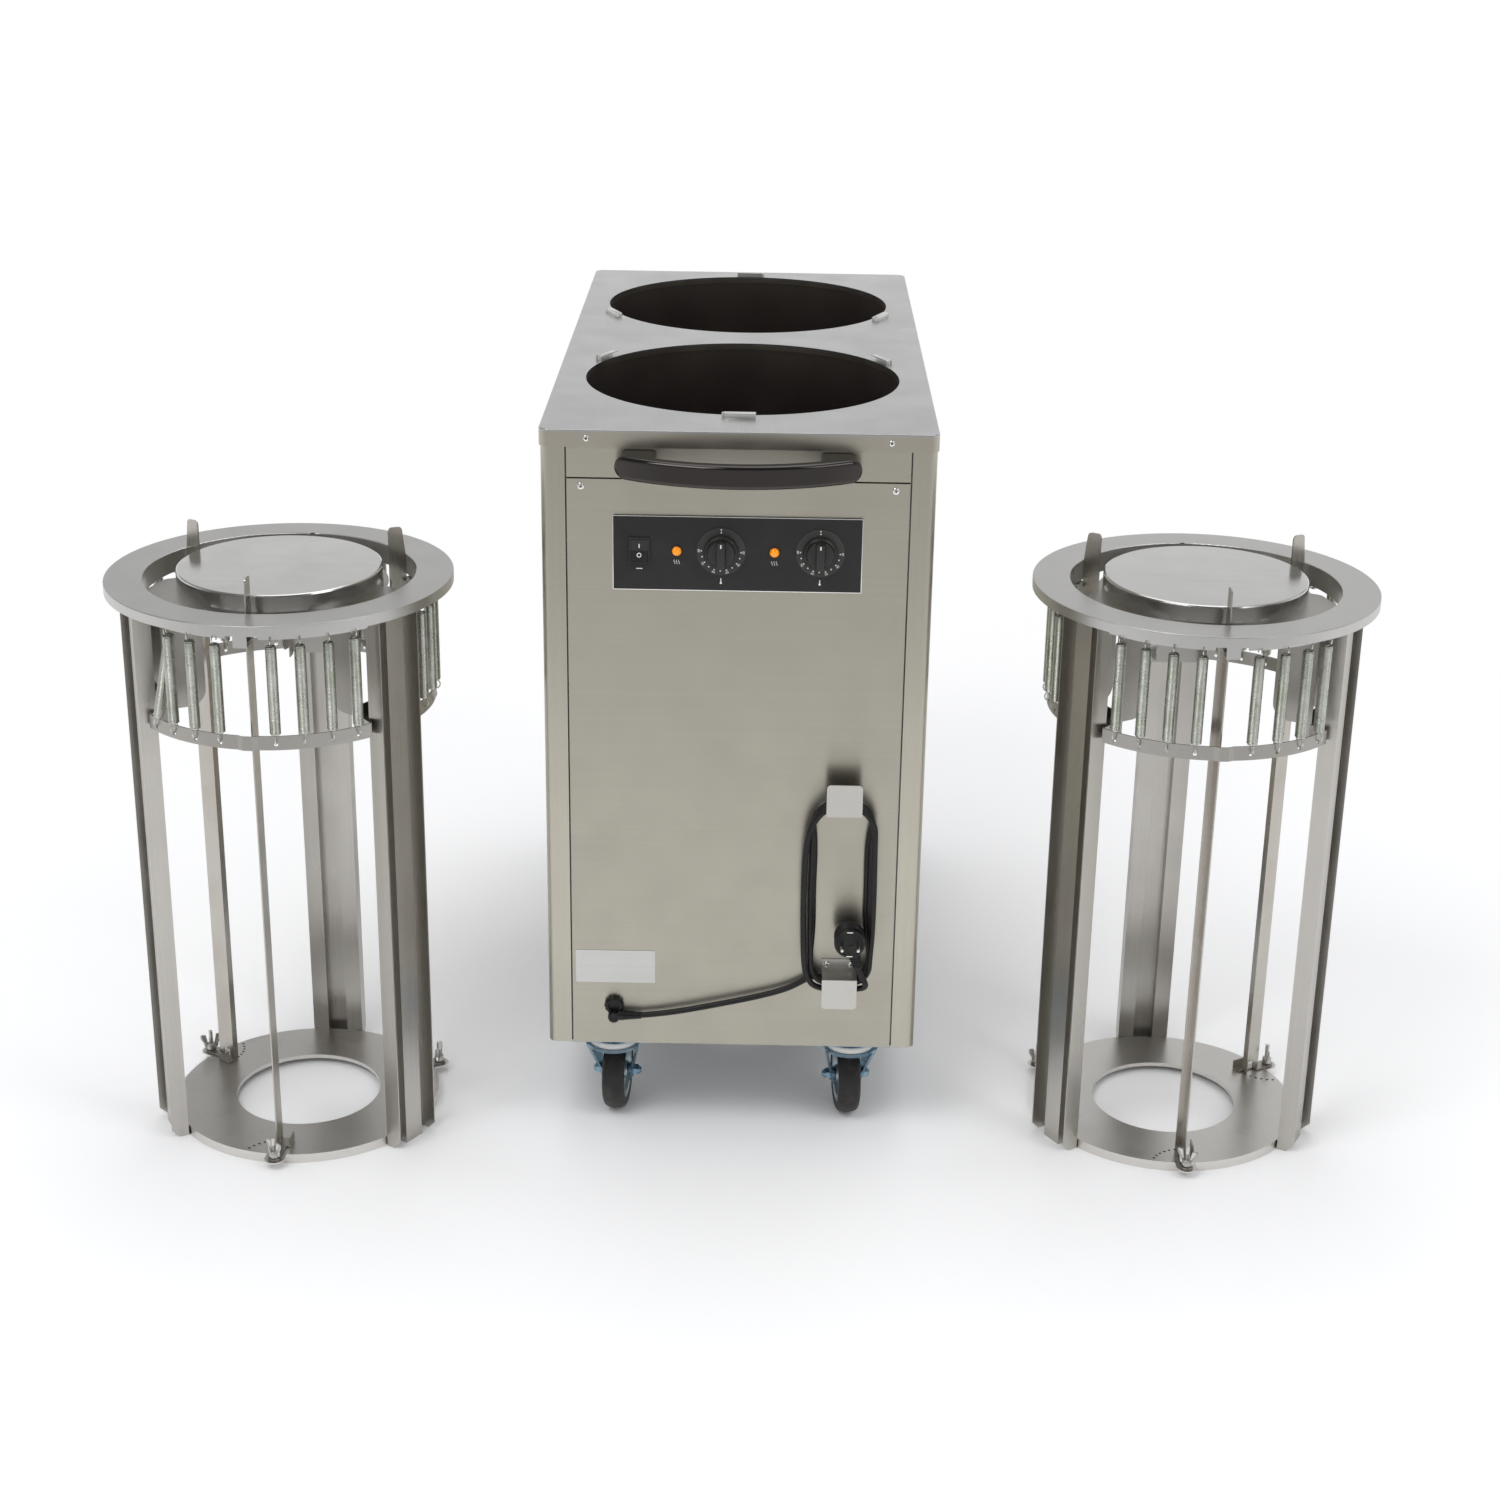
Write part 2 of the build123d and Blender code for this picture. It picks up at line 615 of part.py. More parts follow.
def inner_frame():
    """Angle posts, rails and bearers, butted against each other."""
    x1 = PAN_X - SKIN - SLIP
    y1 = PAN_Y - SKIN - SLIP
    side_out, side_in = x1 - POST_WALL, x1 - SIDE_RAIL
    end_out, end_in = y1 - POST_WALL, y1 - END_RAIL
    top = DECK_UNDER - RAIL_TALL
    post = block(x1 - POST, x1, y1 - POST, y1, PAN_FLOOR, DECK_UNDER)
    post -= block(x1 - POST, side_out, y1 - POST, end_out, PAN_FLOOR, DECK_UNDER)
    pieces = []
    for near in (post, mirror(post, Plane.YZ)):
        pieces += [near, mirror(near, Plane.XZ)]
    for low, high in ((top, DECK_UNDER), (PAN_FLOOR, LINER_FLOOR)):
        side = block(side_in, side_out, -end_out, end_out, low, high)
        pieces += [side, mirror(side, Plane.YZ)]
    end = block(-side_in, side_in, end_in, end_out, top, DECK_UNDER)
    cross_in = CROSS_RAIL_Y - END_RAIL
    cross = block(-side_in, side_in, cross_in, CROSS_RAIL_Y, PAN_FLOOR, LINER_FLOOR)
    for rail_piece in (end, cross):
        pieces += [rail_piece, mirror(rail_piece, Plane.XZ)]
    bearer = block(BEARER_AT - BEARER / 2, BEARER_AT + BEARER / 2, -cross_in, cross_in,
                   PAN_FLOOR, LINER_FLOOR)
    pieces += [bearer, mirror(bearer, Plane.YZ)]
    half = MIDDLE_RAIL / 2
    pieces.append(block(-side_in, side_in, WELL_SHIFT - half, WELL_SHIFT + half, top, DECK_UNDER))
    return pieces


def terminal_places():
    """Ends of a heating element, seen from its well's axis."""
    half = math.radians(ELEMENT_ARC / 2)
    x = ELEMENT_R * math.cos(half)
    y = ELEMENT_R * math.sin(half)
    return [(x, y), (x, -y)]


def well_liners():
    """Rolled wall with its turned-out rim, and the floor with its vent, for each well."""
    floor_top = LINER_FLOOR + LINER_WALL
    rim = DECK_UNDER - LINER_WALL
    wall = turned((LINER_R, LINER_FLOOR), (LINER_OUT, LINER_FLOOR), (LINER_OUT, rim),
                  (LINER_OUT + LINER_FLANGE, rim), (LINER_OUT + LINER_FLANGE, DECK_UNDER),
                  (LINER_R, DECK_UNDER))
    floor = ring(VENT_R, LINER_R, LINER_FLOOR, floor_top)
    for x, y in terminal_places():
        floor -= upright(x, y, LINER_FLOOR, floor_top, ELEMENT_ROD + HOLE_PLAY)
    return [Pos(0, y, 0) * piece for y in (FRONT_WELL_Y, BACK_WELL_Y) for piece in (wall, floor)]


def heating_elements():
    floor_top = LINER_FLOOR + LINER_WALL
    z = floor_top + SADDLE_TALL
    section = Plane.XZ * Pos(ELEMENT_R, z) * Circle(ELEMENT_ROD)
    hoop = turned_about(revolve(section, Axis.Z, ELEMENT_ARC), -ELEMENT_ARC / 2)
    for x, y in terminal_places():
        hoop += upright(x, y, LINER_FLOOR - TERMINAL_DROP, z, ELEMENT_ROD)
        hoop += Pos(x, y, z) * Sphere(ELEMENT_ROD)
    for angle in (0, 120, 240):
        a = math.radians(angle)
        saddle = block(-SADDLE / 2, SADDLE / 2, -SADDLE / 2, SADDLE / 2, floor_top, z)
        hoop += Pos(ELEMENT_R * math.cos(a), ELEMENT_R * math.sin(a), 0) * saddle
    return [Pos(0, y, 0) * hoop for y in (FRONT_WELL_Y, BACK_WELL_Y)]


# ---------------------------------------------------------------- controls
def control_box():
    x = CONTROL_W / 2 - CONTROL_EDGE + BOX_WALL
    z = CONTROL_H / 2 - CONTROL_EDGE + BOX_WALL
    y0 = -FACE_Y + SKIN
    box = block(-x, x, y0, y0 + BOX_DEPTH, CONTROL_Z - z, CONTROL_Z + z)
    return box - block(-x + BOX_WALL, x - BOX_WALL, y0, y0 + BOX_DEPTH - BOX_WALL,
                       CONTROL_Z - z + BOX_WALL, CONTROL_Z + z - BOX_WALL)


def control_panel():
    panel = block(-CONTROL_W / 2, CONTROL_W / 2, -CONTROL_FACE, -FACE_Y,
                  CONTROL_Z - CONTROL_H / 2, CONTROL_Z + CONTROL_H / 2)
    panel = fillet(panel.edges().filter_by(Axis.Y), CONTROL_T)
    w = SWITCH_W / 2 - SWITCH_WALL / 2 + HOLE_PLAY
    h = SWITCH_H / 2 - SWITCH_WALL / 2 + HOLE_PLAY
    panel -= block(SWITCH_X - w, SWITCH_X + w, -CONTROL_FACE, -FACE_Y, ROW_Z - h, ROW_Z + h)
    for x in LAMP_X:
        panel -= forward(x, ROW_Z, -CONTROL_FACE, -FACE_Y, LAMP_STEM_R + HOLE_PLAY)
    for x in KNOB_X:
        panel -= forward(x, ROW_Z, -CONTROL_FACE, -FACE_Y, SPINDLE_R + HOLE_PLAY)
    return panel


def dial_rings():
    disc = ring(DIAL_BORE, DIAL_R, 0, DIAL_T)
    return [facing_front(x, -CONTROL_FACE, ROW_Z, disc) for x in KNOB_X]


def thermostats():
    half = THERMOSTAT / 2
    reach = CONTROL_FACE - FACE_Y + DIAL_T + KNOB_LIFT + SPINDLE_REACH
    body = block(-half, half, -half, half, -THERMOSTAT_DEEP, 0)
    body += upright(0, 0, 0, reach, SPINDLE_R)
    return [facing_front(x, -FACE_Y, ROW_Z, body) for x in KNOB_X]


def indicator_lamps():
    lens = turned((0, 0), (LAMP_R, 0), *[(LAMP_R * r, LAMP_R * h) for r, h in DOME])
    lens += upright(0, 0, -CONTROL_T - LAMP_STEM, 0, LAMP_STEM_R)
    return [facing_front(x, -CONTROL_FACE, ROW_Z, lens) for x in LAMP_X]


def switch_housing():
    w = SWITCH_W / 2
    h = SWITCH_H / 2
    inner_w = w - SWITCH_WALL
    inner_h = h - SWITCH_WALL
    rim = block(-w, w, -h, h, 0, SWITCH_RIM)
    rim = chamfer(rim.faces().sort_by(Axis.Z)[-1].edges(), SWITCH_RIM / 3)
    neck_w = w - SWITCH_WALL / 2
    neck_h = h - SWITCH_WALL / 2
    body = rim + block(-neck_w, neck_w, -neck_h, neck_h, -SWITCH_BODY, 0)
    body -= block(-inner_w, inner_w, -inner_h, inner_h, -SWITCH_BODY / 2, SWITCH_RIM)
    pin_hole = Rot(0, 90, 0) * Cylinder(ROCKER_PIN_R + PIN_PLAY, 2 * (inner_w + PIN_IN + PIN_PLAY))
    return facing_front(SWITCH_X, -CONTROL_FACE, ROW_Z, body - pin_hole)


def switch_rocker():
    half_w = SWITCH_W / 2 - SWITCH_WALL - ROCKER_GAP
    radius = SWITCH_H / 2 - SWITCH_WALL - ROCKER_GAP
    deep = SWITCH_BODY / 4
    side = Polygon((-radius, -deep), (radius, -deep), (radius, ROCKER_PROUD),
                   (0, ROCKER_PROUD / 2), (-radius, ROCKER_PROUD), align=None)
    blank = extrude(Plane.YZ * (side & Circle(radius)), half_w, both=True)
    pins = Rot(0, 90, 0) * Cylinder(ROCKER_PIN_R, 2 * (half_w + ROCKER_GAP + PIN_IN))
    rocker = Rot(-ROCKER_TILT, 0, 0) * (blank + pins)
    return facing_front(SWITCH_X, -CONTROL_FACE, ROW_Z, rocker)


def knob(x):
    body = turned((0, 0), (KNOB_R, 0), (KNOB_R, KNOB_EDGE), (KNOB_R - KNOB_DRAFT / 2, KNOB_BASE),
                  (KNOB_BODY_R, KNOB_BASE), (KNOB_BODY_R - KNOB_DRAFT, KNOB_BODY), (0, KNOB_BODY))
    grip = extrude(RectangleRounded(KNOB_GRIP, 2 * KNOB_BODY_R, GRIP_CORNER), KNOB_DEPTH)
    grip = chamfer(grip.faces().sort_by(Axis.Z)[-1].edges(), GRIP_SOFT)
    body += grip
    body -= upright(0, 0, 0, SPINDLE_REACH + SPINDLE_FIT, SPINDLE_R + SPINDLE_FIT)
    return facing_front(x, -DIAL_FACE - KNOB_LIFT, ROW_Z, body)


# ---------------------------------------------------------------- handle, hooks, gland
def handle():
    half = HANDLE_LENGTH / 2
    inner_half = half - HANDLE_FOOT
    radius = (half ** 2 + HANDLE_BOW ** 2) / (2 * HANDLE_BOW)
    centre = HANDLE_REACH - radius
    ends = HANDLE_REACH - HANDLE_BOW
    outline = Polyline((-half, ends), (-half, 0), (half, 0), (half, ends))
    front_arc = ThreePointArc((half, ends), (0, HANDLE_REACH), (-half, ends))
    bow = make_face(outline.edges() + front_arc.edges())
    inner_top = HANDLE_REACH - HANDLE_BAR
    inner_end = centre + math.sqrt((radius - HANDLE_BAR) ** 2 - inner_half ** 2)
    gap_line = Polyline((-inner_half, inner_end), (-inner_half, 0), (inner_half, 0),
                        (inner_half, inner_end))
    back_arc = ThreePointArc((inner_half, inner_end), (0, inner_top), (-inner_half, inner_end))
    gap = make_face(gap_line.edges() + back_arc.edges())
    bar = extrude(bow - gap, HANDLE_TALL / 2, both=True)
    front = SlotOverall(HANDLE_LENGTH, HANDLE_TALL)
    bar &= Plane.XZ * extrude(front, 2 * HANDLE_REACH, both=True)
    tops = bar.edges().filter_by(lambda e: e.bounding_box().size.Z < 0.01)
    rounded = [e for e in tops if e.center().Y > HANDLE_BAR and e.length > HANDLE_BAR]
    bar = fillet(rounded, HANDLE_SOFT)
    return Pos(0, -FACE_Y, HANDLE_Z) * Rot(180, 0, 0) * bar


def cord_hook(arm_z, up):
    """Bent strip: mounting plate up, arm out, tab up or down."""
    out = HOOK_REACH
    s = HOOK_SHEET
    if up:
        side = [(0, 0), (out, 0), (out, HOOK_TAB), (out - s, HOOK_TAB), (out - s, s), (s, s),
                (s, HOOK_PLATE), (0, HOOK_PLATE)]
    else:
        side = [(0, -s), (out - s, -s), (out - s, s - HOOK_TAB), (out, s - HOOK_TAB), (out, 0),
                (s, 0), (s, HOOK_PLATE), (0, HOOK_PLATE)]
    strip = extrude(Plane.YZ * Polygon(*side, align=None), HOOK_W / 2, both=True)
    far = strip.faces().sort_by(Axis.Y)[-1]
    height = far.bounding_box()
    tip = height.max.Z if up else height.min.Z
    corners = [e for e in strip.edges().filter_by(Axis.Y)
               if abs(e.center().Z - tip) < 0.01 and e.length < 2 * s]
    strip = fillet(corners, HOOK_CORNER)
    strip = Pos(HOOK_X, -FACE_Y, arm_z) * mirror(strip, Plane.XZ)
    for x, z in hook_screw_places():
        strip -= forward(x, z, -FACE_Y - s, -FACE_Y, SCREW_SHANK + HOLE_PLAY)
    return strip


def cable_gland():
    cap = turned((0, 0), (GLAND_R, 0), (GLAND_R, GLAND_SIDE), (GLAND_R - GLAND_LIP, GLAND_OUT),
                 (GLAND_CUP_R + GLAND_LIP / 2, GLAND_OUT), (GLAND_CUP_R, GLAND_CUP), (0, GLAND_CUP))
    lobe = turned((0, 0), (LOBE_R, 0), (LOBE_R, LOBE_OUT - GLAND_LIP), (LOBE_R - GLAND_LIP, LOBE_OUT),
                  (0, LOBE_OUT))
    body = cap + Pos(0, -LOBE_DROP, 0) * lobe
    body += upright(0, 0, -GLAND_TAIL, 0, LOBE_R)
    gland = facing_front(GLAND_X, -FACE_Y, GLAND_Z, body)
    long = LOBE_R + NOZZLE_OUT
    nozzle = turned((0, 0), (NOZZLE_R, 0), (NOZZLE_R - NOZZLE_WALL / 2, LOBE_R),
                    (CORD_R + NOZZLE_WALL, long), (0, long))
    x, y, z = cord_exit()
    return gland + Pos(x - long, y, z) * Rot(0, 90, 0) * nozzle


def cord_exit():
    """Middle of the face that the cord leaves the gland by; it points to +X."""
    return (GLAND_X + LOBE_R + NOZZLE_OUT, -FACE_Y - LOBE_OUT + LOBE_R, GLAND_Z - LOBE_DROP + EXIT_RISE)


def rating_plate():
    plate = block(PLATE_X - PLATE_W / 2, PLATE_X + PLATE_W / 2, -FACE_Y - PLATE_T, -FACE_Y,
                  PLATE_Z - PLATE_H / 2, PLATE_Z + PLATE_H / 2)
    return fillet(plate.edges().filter_by(Axis.Y), 2 * PLATE_T)


def round_head(radius, tall):
    """Low domed head standing on the XY plane."""
    share = HEAD_SHOULDER
    return turned((0, 0), (radius, 0), (radius * share, tall * share), (0, tall))


def fasteners():
    rivet = round_head(RIVET_R, RIVET_TALL)
    shank = upright(0, 0, -SCREW_LONG, 0, SCREW_SHANK)
    screw = round_head(SCREW_R, SCREW_TALL) + shank
    small = round_head(HOOK_SCREW_R, SCREW_TALL) + shank
    bolt = upright(0, 0, -BOLT_HEAD, 0, BOLT_HEAD_R)
    bolt += upright(0, 0, 0, CASTOR_PLATE_T + SKIN, BOLT_R)
    bolt += upright(0, 0, CASTOR_PLATE_T + SKIN, CASTOR_PLATE_T + SKIN + BOLT_HEAD, BOLT_HEAD_R)
    found = []
    for s in (-1, 1):
        found.append(facing_front(s * RIVET_X, -CART_LENGTH / 2, DECK_TOP - RIVET_DROP, rivet))
    for x, z in screw_places():
        found.append(facing_front(x, -FACE_Y, z, screw))
        found.append(mirror(facing_front(x, -FACE_Y, z, screw), Plane.XZ))
    for x, z in hook_screw_places():
        found.append(facing_front(x, -FACE_Y - HOOK_SHEET, z, small))
    for x, y in bolt_places():
        found.append(Pos(x, y, BODY_BOTTOM - CASTOR_PLATE_T) * bolt)
    return found


# ---------------------------------------------------------------- cord, winding and plug
def turn_points(index):
    """Corners of one turn: under the lower hook, up, over the upper hook and down again."""
    y = -FACE_Y - WIND_OFF - WIND_STEP * index
    left = HOOK_X - WIND_LEFT[index]
    right = HOOK_X + WIND_RIGHT[index]
    low = LOW_ARM_Z - HOOK_SHEET - CORD_R - WIND_SLACK
    high = HIGH_ARM_Z + HOOK_SHEET + CORD_R + WIND_CROWN
    half = WIND_HALF
    corner = half * math.tan(math.radians(22.5))
    bend = high - half + corner
    rise = (bend - low) / 7
    back = WIND_STEP / 10
    return [
        (HOOK_X - WIND_FOOT, y, low),
        (HOOK_X + WIND_FOOT, y, low),
        (HOOK_X + WIND_KNEE, y - back, low + WIND_CUT),
        (HOOK_X + WIND_KNEE + 0.6, y - 1.5 * back, low + rise * 1.15),
        (right - 0.4, y - 2 * back, low + rise * 2.2),
        (right, y - 3 * back, low + rise * 4),
        (right - 0.8, y - 4 * back, low + rise * 5.9),
        (HOOK_X + half, y - 5 * back, bend),
        (HOOK_X + corner, y - 5 * back, high),
        (HOOK_X - corner, y - 5 * back, high),
        (HOOK_X - half, y - 5 * back, bend),
        (left + 1.2, y - 6 * back, low + rise * 5.9),
        (left, y - 7 * back, low + rise * 4),
        (left + 0.8, y - 8 * back, low + rise * 2.2),
        (HOOK_X - WIND_KNEE - 0.8, y - 8.5 * back, low + rise * 1.15),
        (HOOK_X - WIND_KNEE, y - 9 * back, low + WIND_CUT),
    ]


def plug_end():
    """Middle of the plug's neck face and the way the cord leaves it."""
    right, out, rise = PLUG_NECK
    neck = Vector(HOOK_X + right, -FACE_Y - HOOK_REACH - out, LOW_ARM_Z + rise)
    return neck, Vector(*PLUG_WAY).normalized()


def winding_points():
    """Three full turns round the hooks, then once more under the lower hook to the plug."""
    points = []
    for index in range(WIND_TURNS):
        points += turn_points(index)
    last_left = points[-3]
    neck, way = plug_end()
    y = -FACE_Y - WIND_OFF - WIND_STEP * (WIND_TURNS - 1)
    low = LOW_ARM_Z - HOOK_SHEET - 3 * CORD_R - WIND_SLACK - 2.0
    points = points[:-2] + [
        (last_left[0] + 1.4, y - 4.6, low + 39),
        (HOOK_X - WIND_KNEE - 5, y - 2.4, low + 17),
        (HOOK_X - WIND_FOOT - 5, y, low),
        (HOOK_X + WIND_FOOT - 4, y + 1.6, low - 0.5),
        (HOOK_X + WIND_KNEE - 1, y - 11.5, low + 9),
        tuple(neck + way * 11),
        tuple(neck),
    ]
    return points


def lead_points():
    """From the gland along the panel to the first turn."""
    x, y, z = cord_exit()
    first = Vector(*turn_points(0)[0])
    run = first - Vector(x, y, z)
    points = [(x, y, z), (x + 3 * CORD_R, y, z)]
    for share, sag, out in LEAD_LINE:
        points.append((x + run.X * share, y + run.Y * share - out, z + run.Z * share - sag))
    points.append((first.X - 3 * CORD_R, first.Y, first.Z))
    points.append(tuple(first))
    return points


def corner_radii(points, limit):
    """0.45 of the shorter run over the tangent of half the turn, up to the limit."""
    radii = []
    for a, b, c in zip(points, points[1:], points[2:]):
        before = Vector(*b) - Vector(*a)
        after = Vector(*c) - Vector(*b)
        half = math.radians(before.get_angle(after)) / 2
        radii.append(min(limit, 0.45 * min(before.length, after.length) / math.tan(half)))
    return radii


def cord_tube(points, name, limit=4000.0):
    radii = corner_radii(points, limit)
    path = FilletPolyline(*points, radius=radii)
    start = Plane(origin=path @ 0, z_dir=path % 0)
    solid = sweep(start * Circle(CORD_R), path=path)
    ideal = math.pi * CORD_R ** 2 * path.length
    print(f"{name}: length {path.length:.0f}, volume over section times length "
          f"{solid.volume / ideal:.4f}, least radius {min(radii):.1f}, radii "
          + " ".join(f"{r:.0f}" for r in radii))
    return solid, path


def least_gap(path, samples):
    """Least distance between stretches of the path that aren't neighbours, less the cord."""
    spots = [path @ (i / samples) for i in range(samples + 1)]
    step = path.length / samples
    skip = int(6 * CORD_R / step) + 1
    least = 1e9
    for i, a in enumerate(spots):
        for b in spots[i + skip:]:
            least = min(least, (a - b).length)
    return least - 2 * CORD_R


def plug_parts():
    neck, way = plug_end()
    centre = Vector(HOOK_X + PLUG_ASIDE, -FACE_Y - PLUG_OFF, LOW_ARM_Z + PLUG_RISE)
    waist = PLUG_R - 2 * PLUG_LIP
    body = turned((0, 0), (waist, 0), (PLUG_R, PLUG_ROUND), (PLUG_R, PLUG_DEEP - PLUG_ROUND),
                  (PLUG_R - PLUG_LIP, PLUG_DEEP - PLUG_ROUND / 4), (waist, PLUG_DEEP), (0, PLUG_DEEP))
    body = facing_front(centre.X, centre.Y, centre.Z, body)
    length = (neck - Vector(centre.X, neck.Y, centre.Z)).length
    boot = turned((0, 0), (CORD_R + BOOT_WALL, 0), (PLUG_NECK_R, length * BOOT_TAPER),
                  (PLUG_NECK_R, length), (0, length))
    boot = Plane(origin=neck, z_dir=way * -1) * boot
    body += boot
    face_y = centre.Y - PLUG_DEEP
    contact = ring(EARTH_BORE_R, EARTH_R, 0, EARTH_TALL)
    earth = facing_front(centre.X, face_y, centre.Z + EARTH_RISE, contact)
    pins = []
    for side in (-1, 1):
        pin = turned((0, 0), (PIN_R, 0), (PIN_R, PIN_LONG - PIN_TIP), (PIN_TIP_R, PIN_LONG),
                     (0, PIN_LONG))
        pins.append(facing_front(centre.X + side * PIN_SPREAD / 2, face_y, centre.Z, pin))
    return body, pins + [earth]


# ---------------------------------------------------------------- castors
def castor_plate(x, y):
    """Mounting plate with the upper half of the swivel bearing under it."""
    top = BODY_BOTTOM
    under = top - CASTOR_PLATE_T
    outline = RectangleRounded(CASTOR_PLATE_L, CASTOR_PLATE_W, PLATE_CORNER)
    plate = extrude(outline, CASTOR_PLATE_T)
    plate = Pos(0, 0, under) * plate
    low = RACE_Z + RACE_TALL * RACE_SPLIT
    plate += turned((0, low), (RACE_R - PLATE_RACE_IN, low), (RACE_R, low + PLATE_RACE_IN / 2),
                    (RACE_R + PLATE_RACE_IN / 2, under), (0, under))
    for sx in (-1, 1):
        for sy in (-1, 1):
            plate -= upright(sx * BOLT_X / 2, sy * BOLT_Y / 2, under, top, BOLT_R + HOLE_PLAY)
    return Pos(x, y, 0) * plate


def castor_fork():
    """Fork about its swivel axis, wheel trailing to +Y, with its axle bolt and nut."""
    high = RACE_Z + RACE_TALL * RACE_SPLIT - RACE_PLAY
    fork = turned((0, CROWN_Z), (CROWN_R, CROWN_Z), (CROWN_R - CROWN_ROUND, RACE_Z - CROWN_ROUND / 2),
                  (CROWN_R - 3 * CROWN_ROUND, RACE_Z), (RACE_R, RACE_Z), (RACE_R, high - RACE_ROUND),
                  (RACE_R - RACE_SLOPE, high), (0, high))
    foot = WHEEL_R - FORK_FOOT
    inner = HUB_W / 2 + FORK_CLEAR
    reach = foot + (RACE_Z - foot) / math.cos(math.radians(FORK_SPLAY)) + CROWN_ROUND
    wide = WHEEL_R + FORK_WAIST
    profile = Polygon((-FORK_HALF, reach), (FORK_HALF, reach), (CASTOR_TRAIL + FORK_BACK, wide),
                      (CASTOR_TRAIL + FORK_WAIST, foot), (CASTOR_TRAIL - FORK_WAIST, foot),
                      (CASTOR_TRAIL - FORK_FRONT, wide), align=None)
    leg = Pos(0, 0, -foot) * extrude(Plane.YZ * profile, FORK_SHEET, dir=(1, 0, 0))
    leg = Pos(inner, 0, foot) * Rot(0, FORK_SPLAY, 0) * leg
    leg -= block(0, 3 * CROWN_R, -2 * CROWN_R, 2 * CROWN_R, RACE_Z, RACE_Z + RACE_TALL)
    outer = inner + FORK_SHEET + (FORK_FOOT + RACE_ROUND) * math.tan(math.radians(FORK_SPLAY))
    boss = Pos(inner, CASTOR_TRAIL, WHEEL_R) * Rot(0, 90, 0) * extrude(Circle(BOSS_R), outer - inner)
    hexagon = extrude(RegularPolygon(AXLE_HEAD_R, 6), AXLE_HEAD)
    head = Pos(outer, CASTOR_TRAIL, WHEEL_R) * Rot(0, 90, 0) * hexagon
    side = leg + boss + head
    fork += side
    fork += mirror(side, Plane.YZ)
    fork += Pos(0, CASTOR_TRAIL, WHEEL_R) * Rot(0, 90, 0) * Cylinder(AXLE_R, 2 * outer)
    return fork


def wheel_pair():
    """Wheel disc with hub, and tyre, about the axle."""
    half = RIM_W / 2
    hub = HUB_W / 2
    bore = AXLE_R + AXLE_FIT
    thin = WEB_HALF + 1
    disc = turned((bore, -hub), (HUB_R, -hub), (HUB_R + 1, -thin), (RIM_R - RIM_DEEP - 1, -WEB_HALF),
                  (RIM_R - RIM_DEEP, -half), (RIM_R, -half), (RIM_R, half), (RIM_R - RIM_DEEP, half),
                  (RIM_R - RIM_DEEP - 1, WEB_HALF), (HUB_R + 1, thin), (HUB_R, hub), (bore, hub))
    wide = TYRE_W / 2
    low = WHEEL_R - TYRE_SHOULDER
    near = WHEEL_R - TYRE_ROUND
    bead = RIM_R + TYRE_ROUND
    tyre = turned((RIM_R, -half), (bead, -wide), (low, -wide), (near, TYRE_ROUND - wide),
                  (WHEEL_R, TYRE_SHOULDER - wide), (WHEEL_R, wide - TYRE_SHOULDER),
                  (near, wide - TYRE_ROUND), (low, wide), (bead, wide), (RIM_R, half))
    return Rot(0, 90, 0) * disc, Rot(0, 90, 0) * tyre


# ---------------------------------------------------------------- plate lifter
def rail():
    """Hat section with its brims to the inside and return edges outwards."""
    f, s = RAIL_FACE, LIFTER_SHEET
    half = [(f + RAIL_DEEP - s, RAIL_CROWN / 2 - s), (f, RAIL_CROWN / 2 - s), (f, RAIL_W / 2),
            (f + RAIL_EDGE, RAIL_W / 2), (f + RAIL_EDGE, RAIL_W / 2 - s), (f + s, RAIL_W / 2 - s),
            (f + s, RAIL_CROWN / 2), (f + RAIL_DEEP, RAIL_CROWN / 2)]
    other = [(x, -y) for x, y in reversed(half)]
    section = Polygon(*half, *other, align=None)
    body = prism(section, FLANGE_UNDER)
    corner = Polygon((f + RAIL_EDGE - RAIL_CHAMFER, 0), (f + RAIL_EDGE, 0),
                     (f + RAIL_EDGE, RAIL_CHAMFER), align=None)
    for y in (RAIL_W / 2 - s / 2, s / 2 - RAIL_W / 2):
        body -= Pos(0, y, 0) * extrude(Plane.XZ * corner, s / 2, both=True)
    return body


def hook_holes(z):
    """Radial holes for the springs' curls, for one guide at angle 0."""
    holes = []
    for angle in SPRING_ANGLES:
        for side in (-1, 1):
            pin = Pos(BAND_R, 0, z) * Rot(0, 90, 0) * Cylinder(EYELET_R, 4 * LIFTER_SHEET)
            holes.append(turned_about(pin, side * angle))
    return holes


